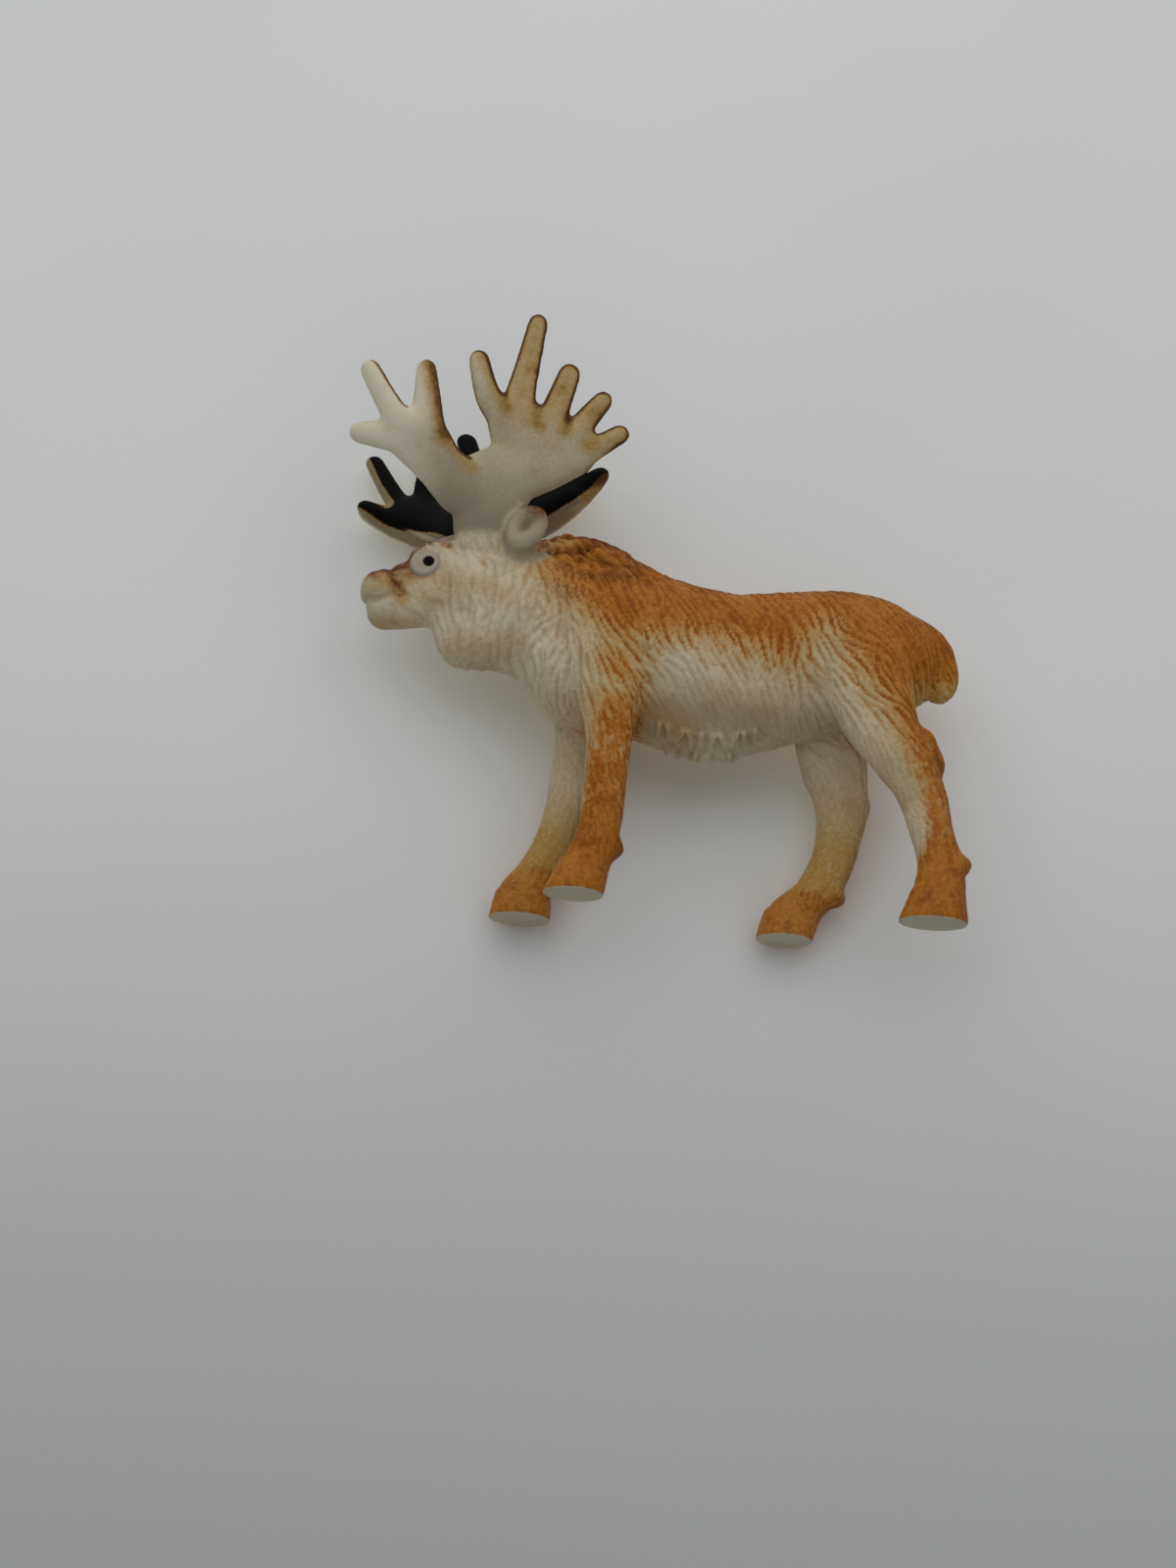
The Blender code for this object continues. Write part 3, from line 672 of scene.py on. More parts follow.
# %% Hair guides
# x, z, the angle below the +X direction in degrees, the depth of the fur in mm
HAIR_GUIDES = np.array(
    [
        (-31.5, 33.0, 20, 0.00), (-30.5, 30.5, 20, 0.00), (-28.5, 35.0, 20, 0.01),
        (-28.0, 31.5, 30, 0.01), (-25.5, 37.5, 20, 0.03), (-25.5, 33.0, 40, 0.04),
        (-23.0, 38.5, 50, 0.05), (-22.5, 30.0, 82, 0.13), (-22.0, 26.5, 92, 0.14),
        (-22.5, 35.0, 70, 0.10), (-20.5, 34.0, 84, 0.15), (-19.0, 28.0, 97, 0.16),
        (-18.0, 37.0, 80, 0.12), (-16.5, 33.0, 96, 0.17), (-15.0, 28.0, 106, 0.17),
        (-14.0, 37.5, 82, 0.18), (-12.5, 24.5, 108, 0.17), (-12.0, 40.0, 15, 0.20),
        (-11.0, 33.0, 78, 0.17), (-10.0, 37.0, 62, 0.22), (-9.0, 28.5, 60, 0.16),
        (-7.0, 39.0, 30, 0.22), (-6.0, 33.0, 64, 0.18), (-5.0, 28.0, 48, 0.16),
        (-4.5, 23.5, 50, 0.13), (-3.0, 36.5, 45, 0.19), (-1.0, 31.5, 68, 0.17),
        (0.0, 26.0, 56, 0.15), (2.0, 20.5, 52, 0.09), (3.0, 34.0, 60, 0.16),
        (5.0, 29.5, 66, 0.18), (6.0, 24.0, 64, 0.15), (8.0, 19.5, 55, 0.08),
        (9.0, 34.5, 60, 0.15), (11.0, 29.5, 70, 0.18), (12.0, 24.0, 72, 0.15),
        (14.0, 35.0, 60, 0.13), (15.0, 30.0, 66, 0.15), (16.5, 25.0, 46, 0.13),
        (19.0, 34.0, 46, 0.14), (20.0, 29.0, 42, 0.17), (20.5, 23.0, 42, 0.15),
        (23.0, 33.0, 46, 0.14), (24.5, 27.0, 50, 0.16), (24.0, 19.0, 48, 0.10),
        (28.0, 31.0, 60, 0.11), (26.5, 14.0, 60, 0.07), (27.5, 8.0, 75, 0.05),
        (19.0, 14.0, 85, 0.06), (17.5, 7.0, 110, 0.04), (-5.8, 17.0, 62, 0.09),
        (-5.8, 10.0, 55, 0.07), (-9.5, 14.0, 95, 0.06), (-10.5, 8.0, 105, 0.05),
        (-8.0, 2.5, 90, 0.00), (-13.5, 2.5, 90, 0.00), (27.5, 2.5, 90, 0.00),
        (14.0, 2.5, 90, 0.00),
    ]
)
HAIR_WANDER = radians(10.0)
FUR_DEPTH = 0.72
LEAST_FUR = 0.004

apart = points[:, None, [0, 2]] - HAIR_GUIDES[None, :, :2]
weight = 1.0 / ((apart**2).sum(2) + 0.6) ** 2
weight /= weight.sum(1, keepdims=True)
wander = HAIR_WANDER * (1.0 + smoothstep(-11.0, -14.0, x))
angle = weight @ np.radians(HAIR_GUIDES[:, 2]) + wander * noise_field(2.2, 3)(points)
depth = FUR_DEPTH * (weight @ HAIR_GUIDES[:, 3]) * on_fur
furry = depth > LEAST_FUR
parting = 0.8 * np.tanh(y) * normals[:, 2]
along = np.stack([np.cos(angle), parting, -np.sin(angle)], 1)
along -= normals * (along * normals).sum(1, keepdims=True)
along /= np.linalg.norm(along, axis=1, keepdims=True) + 1e-9
across = np.cross(normals, along)
print("combed; mean fur depth", round(float(depth.mean()), 3), "mm")

# %% [markdown]
# ## Hair from smeared noise
# Random noise has no direction. Averaged along a short line that follows the hair, it turns into
# streaks: grooves and strands of the right length. Subtracting the same streaks one strand to
# either side sharpens them to an even pitch. Each region of the animal has its own cut: long even
# lines on the flank, broad strands on the neck, lumps on the hump and short nicks on the legs.


# %% Streaks
def streaks(where, cell, reach, seed):
    """Noise smeared along the hair and sharpened across it, at the chosen points."""
    noise = noise_field(cell, seed)
    spots, way, beside = points[where], along[where], across[where]
    steps = np.linspace(-reach, reach, max(5, 2 * round(reach / cell) + 1))

    def smeared(shift):
        return sum(noise(spots + beside * shift + way * step) for step in steps)

    raw = 2 * smeared(0.0) - smeared(cell) - smeared(-cell)
    result = np.zeros(len(points))
    result[where] = raw / raw.std()
    return result


on_leg = 1.0 - smoothstep(17.0, 21.5, z)
on_neck = (1.0 - smoothstep(-14.0, -11.5, x)) * (1.0 - on_leg)
on_hump = nearness(points, ((-13.5, 39.5), (-10, 38.6), (-6, 36.8), (-2, 35.5)), 4.6)
on_flank = np.clip(1.0 - on_leg - on_neck - on_hump, 0.0, 1.0)
# Share of each cut, then the size, length and seed of its streaks
CUTS = (
    (on_flank, 0.34, 1.25, 5),
    (on_neck * (1.0 - on_hump), 0.42, 0.8, 7),
    (on_hump, 0.46, 0.6, 9),
    (on_leg, 0.30, 0.5, 11),
)
hair = np.zeros(len(points))
for share, cell, reach, seed in CUTS:
    hair += share * streaks((share > 0.01) & furry, cell, reach, seed)
print("hair values from", round(float(hair.min()), 1), "to", round(float(hair.max()), 1))

# %% [markdown]
# ## Carving
# Grooves are narrow and strands are round, so the streaks go through a curve before they move the
# skin. Coarser lumps ruffle the hump and bunch the mane. Then come the single strokes: creases
# round the nose, the mouth, the collar and the folds where the legs meet the body.

# %% Carve the coat
RUFFLE_DEPTH, BUNCH_DEPTH = 0.17, 0.08
groove = smoothstep(-0.35, 1.3, hair)
relief = (1.0 - 0.25 * on_neck) * depth * (0.55 - 1.5 * groove + 0.25 * smoothstep(0.3, 1.8, -hair))
ruffle = np.clip(streaks(furry & (on_hump > 0.01), 0.75, 0.5, 13), -1.7, 1.7)
relief += RUFFLE_DEPTH * on_hump * ruffle
mane = nearness(points, ((-21, 30), (-15, 31), (-11, 27)), 8.0) * (1.0 - on_hump)
bunches = np.clip(streaks(furry & (mane > 0.01), 0.9, 2.2, 21), -1.6, 1.6)
relief += BUNCH_DEPTH * mane * bunches
relief += (0.03 - 0.02 * on_antler) * noise_field(1.3, 17)(points)

# Each crease: its path, reach and depth. A negative depth raises a roll
CREASES = (
    (((-29.7, 35.6), (-28.9, 33.6), (-27.9, 31.9)), 0.8, 0.30),
    (((-31.9, 31.6), (-30.6, 31.2), (-29.0, 31.9)), 0.5, 0.28),
    (((-31.3, 33.3), (-30.5, 33.0)), 0.45, 0.20),
    (((-23.7, 31.0), (-23.2, 29.2), (-23.4, 27.6)), 0.9, 0.20),
    (((-13.0, 38.5), (-11.6, 38.5), (-9.6, 38.9)), 0.85, -0.45),
    (((-13.2, 37.6), (-11.6, 37.4), (-9.8, 37.9), (-8.6, 38.8)), 0.5, 0.40),
    (((-10.2, 36.6), (-8.2, 37.0), (-6.6, 36.3), (-4.2, 36.4)), 0.6, 0.38),
    (((-2.6, 26.0), (-2.4, 23.0), (-3.0, 20.5)), 0.8, 0.28),
    (((14.6, 24.5), (15.6, 22.0), (17.0, 20.4)), 1.0, 0.22),
)
for path, reach, cut_depth in CREASES:
    relief -= cut_depth * nearness(points, path, reach)
print("relief spans", round(float(relief.min()), 2), "to", round(float(relief.max()), 2), "mm")

# %% [markdown]
# ## Belly marks and hooves
# Under the belly of the real toy, towards its left side, is a raised inscription. Here that place
# has two rows of short raised strokes, which are plain marks and nothing to read. They are laid out
# in x and y, as the belly is seen from below. Each hoof gets a slight step where the hair ends at
# its top, and a shallow cleft in front.

# %% Marks, coronets and clefts
# Each row: its first and last x, its y, the number of strokes and half their length
MARK_ROWS = ((-0.7, 9.1, -2.5, 10, 0.6), (0.6, 7.6, 0.2, 11, 0.9))
MARK_LEAN, MARK_REACH, MARK_HEIGHT = 0.28, 0.5, 0.55
CORONET_STEP, CLEFT_DEPTH = 0.12, 0.3
underneath = points[:, [0, 2, 1]]
marks = np.zeros(len(points))
for first, last, row_y, count, half_length in MARK_ROWS:
    for i in range(count):
        mark_x = first + (last - first) * i / (count - 1)
        lean = MARK_LEAN * sin(2.4 * i)
        stroke = ((mark_x - lean, row_y - half_length), (mark_x + lean, row_y + half_length))
        marks = np.maximum(marks, nearness(underneath, stroke, MARK_REACH))
marks *= z < 22.0
relief = relief * (1.0 - 0.8 * marks) + MARK_HEIGHT * smoothstep(0.1, 0.8, marks)

for side, _, (top_x, top_z, _), (sole_x, _), _ in HOOVES:
    own = (y * side > 0) & (np.abs(x - top_x) < 5.0)
    line = ((top_x - 3.4, top_z + 0.4), (top_x, top_z + 1.3), (top_x + 3.2, top_z + 1.9))
    relief -= CORONET_STEP * own * nearness(points, line, 0.6)
    toe = own & (x < sole_x) & (z < top_z + 0.6)
    cleft = 1.0 - smoothstep(0.0, 0.45, np.abs(y - side * LEG_SPREAD))
    relief -= CLEFT_DEPTH * cleft * toe * smoothstep(0.15, 0.6, -normals[:, 0])
relief *= smoothstep(0.05, 0.6, z)

# %% Press the ears in and move the skin
DISH_DEPTH = 0.72
carved = points + normals * relief[:, None]
for side in (LEFT, RIGHT):
    inwards = -np.array(ear_turn(side).to_3x3()) @ (0.0, side, 0.0)
    carved += np.outer(DISH_DEPTH * dish * (y * side > 0), inwards)
casting.vertices.foreach_set("co", carved.ravel())
casting.update()
print("carved; deepest dish in the ears", round(float(DISH_DEPTH * dish.max()), 2), "mm")

# %% [markdown]
# ## Airbrushing
# On the real toy, orange-brown paint was sprayed through a stencil on the back and the legs, and it
# stayed in the grooves where it thinned out. The spray is recorded on the mesh as an attribute, one
# number a point, because it follows the body and not any axis. First comes its broad, soft shape,
# then the grooves take more of it and the strands less, and the material adds a fine speckle.

# %% Spray the back
BACK_STENCIL = (
    (-14.6, 43.0), (-14.6, 36.6), (-13.9, 33.9), (-11.8, 31.4), (-9.2, 28.6), (-7.8, 26.5),
    (-7.5, 24.6), (-8.0, 21.0), (-8.4, 16.4), (-2.4, 16.4), (-2.4, 22.3), (-2.8, 24.4),
    (-1.8, 26.6), (1.4, 27.4), (5.4, 27.0), (8.5, 26.4), (11.5, 25.4), (13.6, 26.0),
    (14.2, 28.0), (15.6, 30.2), (17.2, 28.0), (19.0, 25.2), (21.0, 22.6), (22.0, 20.2),
    (23.2, 16.6), (25.0, 13.0), (34.0, 13.0), (34.0, 42.0), (0.0, 44.0),
)
SPRAY_BLUR, WASH_BLUR = 5.2, 6.0
# Where the coat stays paler inside the stencil: a path, its reach and the share that is missing
PALE_PLACES = (
    (((26.6, 24.4), (30.4, 26.0)), 3.4, 0.85),
    (((-10.6, 28.6), (-8.0, 27.0), (-3.6, 26.4)), 3.0, 0.4),
    (((-9.4, 22.8), (-7.0, 22.0), (-5.2, 21.6)), 2.1, 0.6),
    (((-12.8, 38.5), (-10.0, 38.7)), 0.8, 0.4),
)
BEHIND_ELBOW = ((-0.4, 17.0), (-0.6, 22.0), (0.6, 25.0))
spray = covered(points, BACK_STENCIL, SPRAY_BLUR) * on_fur
wash = covered(points, BACK_STENCIL, WASH_BLUR) * on_fur
for path, reach, missing in PALE_PLACES:
    spray *= 1.0 - missing * nearness(points, path, reach)
# The belly right behind the elbow stays cream
behind_elbow = nearness(points, BEHIND_ELBOW, 2.4)
spray *= 1.0 - 0.85 * behind_elbow
wash *= 1.0 - 0.7 * behind_elbow

# %% [markdown]
# On the legs the paint runs down the rear edge and the outer face, leaves a pale strip along the
# front, and closes over the hooves. Each leg bends its own way, so the brush follows the leg's own
# centre line: -1 is its front edge and +1 its rear edge, at every height.

# %% Spray the legs
# Height, and how far forward the orange reaches there on the forelegs and on the hind legs
FRONT_EDGE = (
    (3.0, -3.5, -3.5), (5.5, -2.0, -1.4), (9.0, -1.2, -0.5), (15.0, -1.2, -0.3),
    (18.5, -0.75, -0.1), (25.0, -0.6, 0.1),
)
edge_heights, fore_edges, hind_edges = np.array(FRONT_EDGE).T
WEAR = 0.42
ochre_leg = np.zeros(len(points))
rear_edge = np.zeros(len(points))
for side, rows, (top_x, top_z, _), (sole_x, _), _ in HOOVES:
    spine = [(0.0, sole_x, 3.2), (top_z, top_x, 2.8)]
    spine += [(row[2], row[0], row[3]) for row in rows[::-1]]
    heights, centres, widths = np.array(spine).T
    across_leg = (x - np.interp(z, heights, centres)) / np.interp(z, heights, widths)
    reach_forward = np.interp(z, edge_heights, hind_edges if top_x > 0 else fore_edges)
    width = np.interp(z, (13.0, 17.0), (3.0, 1.05))
    own = (y * side > 0.6) * (1.0 - smoothstep(width - 0.1, width + 0.3, np.abs(across_leg)))
    coat = smoothstep(-0.45, 0.65, across_leg - reach_forward)
    outward = smoothstep(-0.5, 0.35, normals[:, 1] * side)
    hoof = (0.82 + 0.18 * outward) * (1.0 - smoothstep(3.4, 7.8, z))
    share = (1.0 - smoothstep(17.5, 21.5, z)) * own
    amount = np.maximum(coat * (0.12 + 0.88 * outward), hoof)
    spray = spray * (1.0 - share) + share * amount
    worn = smoothstep(-1.5, 1.8, noise_field(0.5, 41)(points)) * smoothstep(2.0, 17.0, z)
    spray -= WEAR * worn * share * spray
    rear_edge = np.maximum(rear_edge, share * smoothstep(0.5, 1.1, across_leg))
    low = 1.0 - smoothstep(7.0, 22.0 if top_x > 0 else 18.0, z)
    ochre_leg = np.maximum(ochre_leg, low * (1.0 - 0.75 * outward) * own)
print("sprayed: mean", round(float(spray.mean()), 3))

# %% [markdown]
# ## Brown, ochre and stains
# A darker brown dusts the spine, the hump and the bridge of the nose. Ochre was rubbed along the
# rear edges of the antlers and round the tips of their rear tines, and thin yellow shows low on the
# flank, in the beard and on the inner legs.
# Last comes a mark of painted shade, which greys the cream where shade falls.

# %% Brown and yellow passes
BROWN_PASSES = (
    (((-14.5, 41.5), (-10, 41.3), (-6, 40.2), (-3, 38.5)), 3.0, 1.2),
    (((-13.2, 37.6), (-11.6, 37.4), (-9.8, 37.9), (-8.6, 38.8)), 0.9, 0.9),
    (((-11.6, 35.4), (-8.6, 34.4), (-4.0, 34.9)), 1.5, 0.65),
    (((-10.2, 36.6), (-8.2, 37.0), (-6.6, 36.3), (-4.2, 36.4)), 1.4, 0.7),
    (((-12.6, 33.0), (-10.6, 32.0)), 1.6, 0.4),
    (((-3, 38.5), (4, 36.3), (14, 37.4), (22, 37.2), (27, 35.5)), 2.6, 0.8),
    (((-31.4, 34.7), (-29.8, 35.6), (-28.4, 35.9)), 1.7, 1.5),
    (((-28.6, 36.2), (-27.4, 38.0), (-24.4, 39.4), (-22.8, 40.4)), 1.6, 1.5),
    (((-29.9, 35.2), (-29.0, 33.6), (-28.4, 32.2)), 1.0, 1.0),
    (((-28.2, 34.9), (-27.4, 34.6)), 1.6, 0.6),
    (((-24.2, 38.0), (-23.8, 37.9)), 0.8, 0.7),
)
NOSE_PASSES = (
    (((-31.2, 34.6), (-29.6, 35.3), (-28.2, 35.4)), 1.9, 0.8),
    (((-29.7, 35.0), (-28.9, 33.2), (-27.9, 31.6)), 1.5, 0.75),
    (((-31.0, 32.6), (-29.6, 33.2)), 1.8, 0.45),
    (((-28.4, 34.8), (-27.2, 34.4)), 2.2, 0.6),
    (((-27.0, 33.8), (-25.2, 34.1)), 0.9, 0.5),
    (((-24.2, 38.0), (-23.8, 37.9)), 0.9, 0.7),
    (((-20.0, 36.4), (-19.8, 35.2)), 0.7, 0.35),
)
STAIN_PASSES = (
    (((-22.4, 26.6), (-18.5, 26.4), (-16, 27.0)), 2.4, 0.45),
    (((-31.2, 34.6), (-29.4, 33.2), (-28.0, 33.6), (-27.0, 34.6)), 2.4, 0.95),
    (((-30.8, 28.8), (-26.8, 28.9)), 2.0, 0.6),
    (((-26.4, 35.0), (-23.0, 33.0)), 3.4, 0.5),
    (((-24.5, 31.5), (-27, 32.6)), 1.8, 0.5),
    (((-20.5, 33), (-17, 31.5)), 2.4, 0.5),
    (((5, 22.0), (11, 21.5), (15, 26)), 4.5, 0.4),
    (((-2.6, 20.8), (2.0, 19.0)), 3.2, 0.65),
    (((-14, 33), (-10, 29)), 2.5, 0.4),
    (((21, 18), (24, 12)), 2.5, 0.5),
    (((27.0, 25.5), (29.6, 26.6)), 2.0, 0.6),
)


def layered(passes):
    """The strongest of several soft strokes at each point: path, reach and strength."""
    strokes = [strength * nearness(points, path, reach) for path, reach, strength in passes]
    return np.max(strokes, axis=0)


GROOVE_GAIN = 2.1
nose = layered(NOSE_PASSES)
spray = np.maximum(spray, 0.54 * nose) * off_antler
on_coat = smoothstep(-24.0, -20.0, x) * (1.0 - 0.5 * on_leg)
on_coat *= 1.0 - 0.4 * smoothstep(-6.0, -9.0, x)
spray += GROOVE_GAIN * spray * (1.0 - spray) * (groove * furry - 0.38) * on_coat
smudges = smoothstep(0.0, 1.2, noise_field(0.7, 43)(points)) * (1.0 - smoothstep(3.0, 8.0, z))
brown = np.maximum.reduce([layered(BROWN_PASSES), 0.55 * rear_edge, 0.5 * smudges])
stain = np.maximum.reduce([layered(STAIN_PASSES), 1.3 * nose, 1.15 * ochre_leg, 1.1 * wash])
brown, stain = brown * off_antler, stain * off_antler
sole = 1.0 - smoothstep(0.0, 0.12, z)
spray, brown, stain = (values * (1.0 - sole) for values in (spray, brown, stain))

# %% Antler passes and painted shade
facing = normals[:, 1] * np.sign(y) * cos(PALM_LEAN) - normals[:, 2] * sin(PALM_LEAN)
high = smoothstep(40.3, 42.0, z + 0.4 * noise_field(1.0, 33)(points))
# Rims of the antlers, as seen from the side, that stay cream on their inner face too
LOWER_RIM = ((-35.0, 45.6), (-31.9, 43.9), (-29.0, 42.8), (-26.4, 41.8), (-22.6, 39.6))
REAR_RIM = ((-18.0, 40.8), (-15.6, 42.6), (-13.1, 44.3), (-10.0, 46.8), (-7.2, 50.2))
OUTER_RIM = ((-34.9, 53.8), (-32.9, 49.9), (-31.4, 47.8))
rims = ((LOWER_RIM, 2.4), (REAR_RIM, 2.0), (OUTER_RIM, 1.9))
rim = np.max([nearness(points, path, reach) for path, reach in rims], axis=0)
inner = smoothstep(0.1, 0.35, -facing) * high * on_antler * (1.0 - smoothstep(0.42, 0.58, rim))
rearward = smoothstep(-0.1, 0.7, normals @ np.array([0.85, 0.0, 0.5]))
wall = 1.0 - smoothstep(0.35, 0.95, facing)
rear_fan = smoothstep(-24.0, -22.5, x) * smoothstep(47.5, 50.5, z)
OCHRE_PASSES = (
    (((-27.2, 55.0), (-26.2, 52.6), (-25.4, 49.0), (-24.8, 47.2)), 2.2, 0.95),
    (((-24.6, 46.8), (-23.0, 45.6), (-22.0, 45.0)), 1.8, 0.6),
    (((-31.8, 53.6), (-30.2, 51.6), (-29.2, 51.0)), 1.3, 0.5),
    (((-21.6, 57.6), (-20.7, 55.4), (-19.6, 53.2), (-18.8, 51.6)), 2.2, 0.75),
    (((-16.2, 62.6), (-16.8, 58.0), (-17.4, 53.6)), 2.6, 0.6),
    (((-15.8, 52.8), (-15.6, 50.6)), 2.4, 0.75),
    (((-12.4, 58.2), (-13.2, 55.0)), 2.4, 0.6),
    (((-12.3, 52.0), (-12.6, 50.6)), 2.2, 0.75),
    (((-8.4, 55.0), (-10.0, 53.0)), 2.2, 0.6),
    (((-9.1, 50.2), (-10.0, 49.6)), 2.2, 0.7),
    (((-6.4, 51.6), (-8.6, 50.4)), 2.0, 0.6),
)
palm_haze = 0.16 * smoothstep(0.0, 1.4, noise_field(1.6, 45)(points)) * smoothstep(42.0, 47.0, z)
rear_haze = 0.54 * smoothstep(-23.0, -17.0, x) * smoothstep(46.0, 53.0, z)
edge_rub = wall * rearward * smoothstep(43.0, 46.0, z)
ochre = np.maximum(layered(OCHRE_PASSES), rear_haze) + palm_haze
ochre = np.maximum(1.15 * ochre + wall * rear_fan, 1.7 * edge_rub)
ochre *= np.where(y < 0, 1.0, 0.7)
ochre = np.maximum(ochre, 1.7 * 4 * inner * (1.0 - inner)) * on_antler
ochre = np.maximum(ochre, 0.3 * smoothstep(0.1, -0.4, facing) * (1.0 - inner) * high * on_antler)
# The outward faces of the front palms are made paler, with the same pale colour as the bare soles.
front_face = smoothstep(-24.5, -30.0, x) * smoothstep(0.0, 0.5, facing)
bare = np.maximum(0.35 * sole, 0.6 * front_face * on_antler)
# Painted shade on the antlers: grey where the stalk leaves the head, fading up the palm to little at the
# tips and none at the front tines, and strong on every face that turns inwards.
stalk_shade = 1.02 - 0.3 * smoothstep(40.0, 44.0, z) - 0.35 * smoothstep(42.0, 48.0, z)
stalk_shade -= 0.25 * smoothstep(48.0, 54.0, z)
stalk_shade *= smoothstep(-29.0, -23.5, x)
stalk_shade = np.maximum(stalk_shade, 1.1 * smoothstep(0.3, -0.3, facing))
muzzle = smoothstep(-26.5, -29.5, x) * off_antler
# Painted shade under the belly, on faces that turn downwards between the forelegs and the thighs.
belly_shade = 1.1 * smoothstep(0.1, 0.9, -normals[:, 2]) * smoothstep(24.0, 21.0, z) * (1.0 - on_leg)
belly_shade *= smoothstep(-7.0, -4.0, x) * (1.0 - 0.65 * smoothstep(8.0, 13.0, x))
# This mark paints shade into the cream: greyer in the ear dishes, under the belly, on the antler stalks
# and on the inward faces of the antlers. It also greys the ears, the muzzle and the soles a little.
hollow = np.maximum.reduce(
    [1.4 * dish, 0.75 * on_ear, 0.35 * muzzle, 0.5 * sole, belly_shade, stalk_shade * on_antler]
)


def record_marks(mesh, **marks):
    """Writes each array of numbers to the mesh as a point attribute of that name."""
    for name, values in marks.items():
        layer = mesh.attributes.new(name, "FLOAT", "POINT")
        layer.data.foreach_set("value", np.asarray(values, dtype=np.float32))


groove *= furry * (1.0 - 0.45 * on_leg)
record_marks(
    casting, spray=spray, brown=brown, stain=stain, bare=bare, groove=groove, inner=inner,
    ochre=ochre, hollow=hollow,
)
print("painted: inner antlers on", round(float((inner > 0.5).mean()), 3), "of the points")

# %% [markdown]
# ## Two halves of one casting
# The casting has too many triangles for one exported piece, so a plane through the shoulders cuts
# it into a head and a body. The plane also passes through the antlers, so the tips of the last
# tines go with the body. Both halves are closed at the cut and have the same outline there, and
# its edges are sharp, so that the lids don't tilt the shading of the fur.

# %% Cut through the shoulders
SHOULDER_CUT = -11.2


def half(name, keep_front):
    """The part of the casting in front of the cut, or behind it, closed again."""
    cut = bmesh.new()
    cut.from_mesh(casting)
    dropped = {"clear_outer": keep_front, "clear_inner": not keep_front}
    shoulder_rim = cut_rim(cut, (SHOULDER_CUT, 0.0, 0.0), (1.0, 0.0, 0.0), **dropped)
    for edge in shoulder_rim:
        edge.smooth = False
    close(cut, shoulder_rim)
    bmesh.ops.recalc_face_normals(cut, faces=cut.faces)
    return mesh_of(cut, name)


head_mesh = half("head", True)
body_mesh = half("body", False)
bpy.data.meshes.remove(casting)
print("head:", len(head_mesh.polygons), "faces, body:", len(body_mesh.polygons), "faces")

# %% [markdown]
# ## Eyes
# The mould has a low lens with a rounded ring about it, and the pupil is one dot of black paint.
# A lens is a turned shape, so a profile is spun about the eye's own axis. The points of the profile
# run from the middle outwards: lens, groove, ring, and a skirt that sinks into the skin.

# %% Eyes
EYE = (-26.05, 2.86, 35.6)
EYE_TILT = radians(12.0)
PUPIL_RADIUS, PUPIL_EDGE = 0.56, 0.1
# The pupil's middle from the eye's: backwards, outwards and up
PUPIL_SHIFT = (0.42, 0.3, -0.05)
# Distance from the eye's axis and height above its base
EYE_PROFILE = (
    (0.0, 0.26), (0.35, 0.25), (0.65, 0.21), (0.86, 0.15), (0.98, 0.12), (1.1, 0.13),
    (1.24, 0.13), (1.38, 0.07), (1.5, -0.05), (1.62, -0.4),
)

turned = bmesh.new()
pupils = []
for side in (LEFT, RIGHT):
    earlier = set(turned.verts)
    profile = [turned.verts.new((r, 0.0, h)) for r, h in EYE_PROFILE]
    edges = [turned.edges.new(pair) for pair in zip(profile, profile[1:])]
    bmesh.ops.spin(
        turned,
        geom=profile + edges,
        cent=(0.0, 0.0, 0.0),
        axis=(0.0, 0.0, 1.0),
        angle=radians(360.0),
        steps=48,
        use_merge=True,
    )
    outwards = Vector((-sin(EYE_TILT), side * cos(EYE_TILT), 0.06)).to_track_quat("Z", "Y")
    placed = Matrix.Translation((EYE[0], side * EYE[1], EYE[2])) @ outwards.to_matrix().to_4x4()
    fresh = [v for v in turned.verts if v not in earlier]
    bmesh.ops.transform(turned, matrix=placed, verts=fresh)
    back, out, up = (place + shift for place, shift in zip(EYE, PUPIL_SHIFT))
    pupils.append(np.array((back, side * out, up)))
bmesh.ops.remove_doubles(turned, verts=turned.verts, dist=0.001)
bmesh.ops.subdivide_edges(turned, edges=turned.edges, cuts=2, smooth=1.0, use_grid_fill=True)
bmesh.ops.recalc_face_normals(turned, faces=turned.faces)
eye_mesh = mesh_of(turned, "eyes")
eye_points, _ = skin_of(eye_mesh)
from_pupil = np.min([np.linalg.norm(eye_points - pupil, axis=1) for pupil in pupils], axis=0)
record_marks(eye_mesh, pupil=1.0 - smoothstep(PUPIL_RADIUS, PUPIL_RADIUS + PUPIL_EDGE, from_pupil))
print("eyes:", len(eye_mesh.polygons), "faces")

# %% [markdown]
# ## Finishes: shared effects
# Every surface of the toy is the same slightly greasy plastic under thin paint. Two effects are in
# every finish, so they are node groups: a fine grain for bumps and sheen, and a mottle that breaks
# each colour up as thin paint does. Groups give out only values, and each material keeps its own
# Principled shader.


# %% Node helpers
def node(tree, kind, inputs=(), **settings):
    """Adds a node, sets its properties and wires or fills its inputs by name or number."""
    made = tree.nodes.new(kind)
    for key, value in settings.items():
        setattr(made, key, value)
    for key, value in dict(inputs).items():
        socket = made.inputs[key]
        if isinstance(value, bpy.types.NodeSocket):
            tree.links.new(value, socket)
        else:
            socket.default_value = value
    return made


def calculated(tree, operation, a, b=0.0):
    return node(tree, "ShaderNodeMath", {0: a, 1: b}, operation=operation).outputs[0]


def times(tree, a, b):
    return calculated(tree, "MULTIPLY", a, b)


def plus(tree, a, b):
    return calculated(tree, "ADD", a, b)


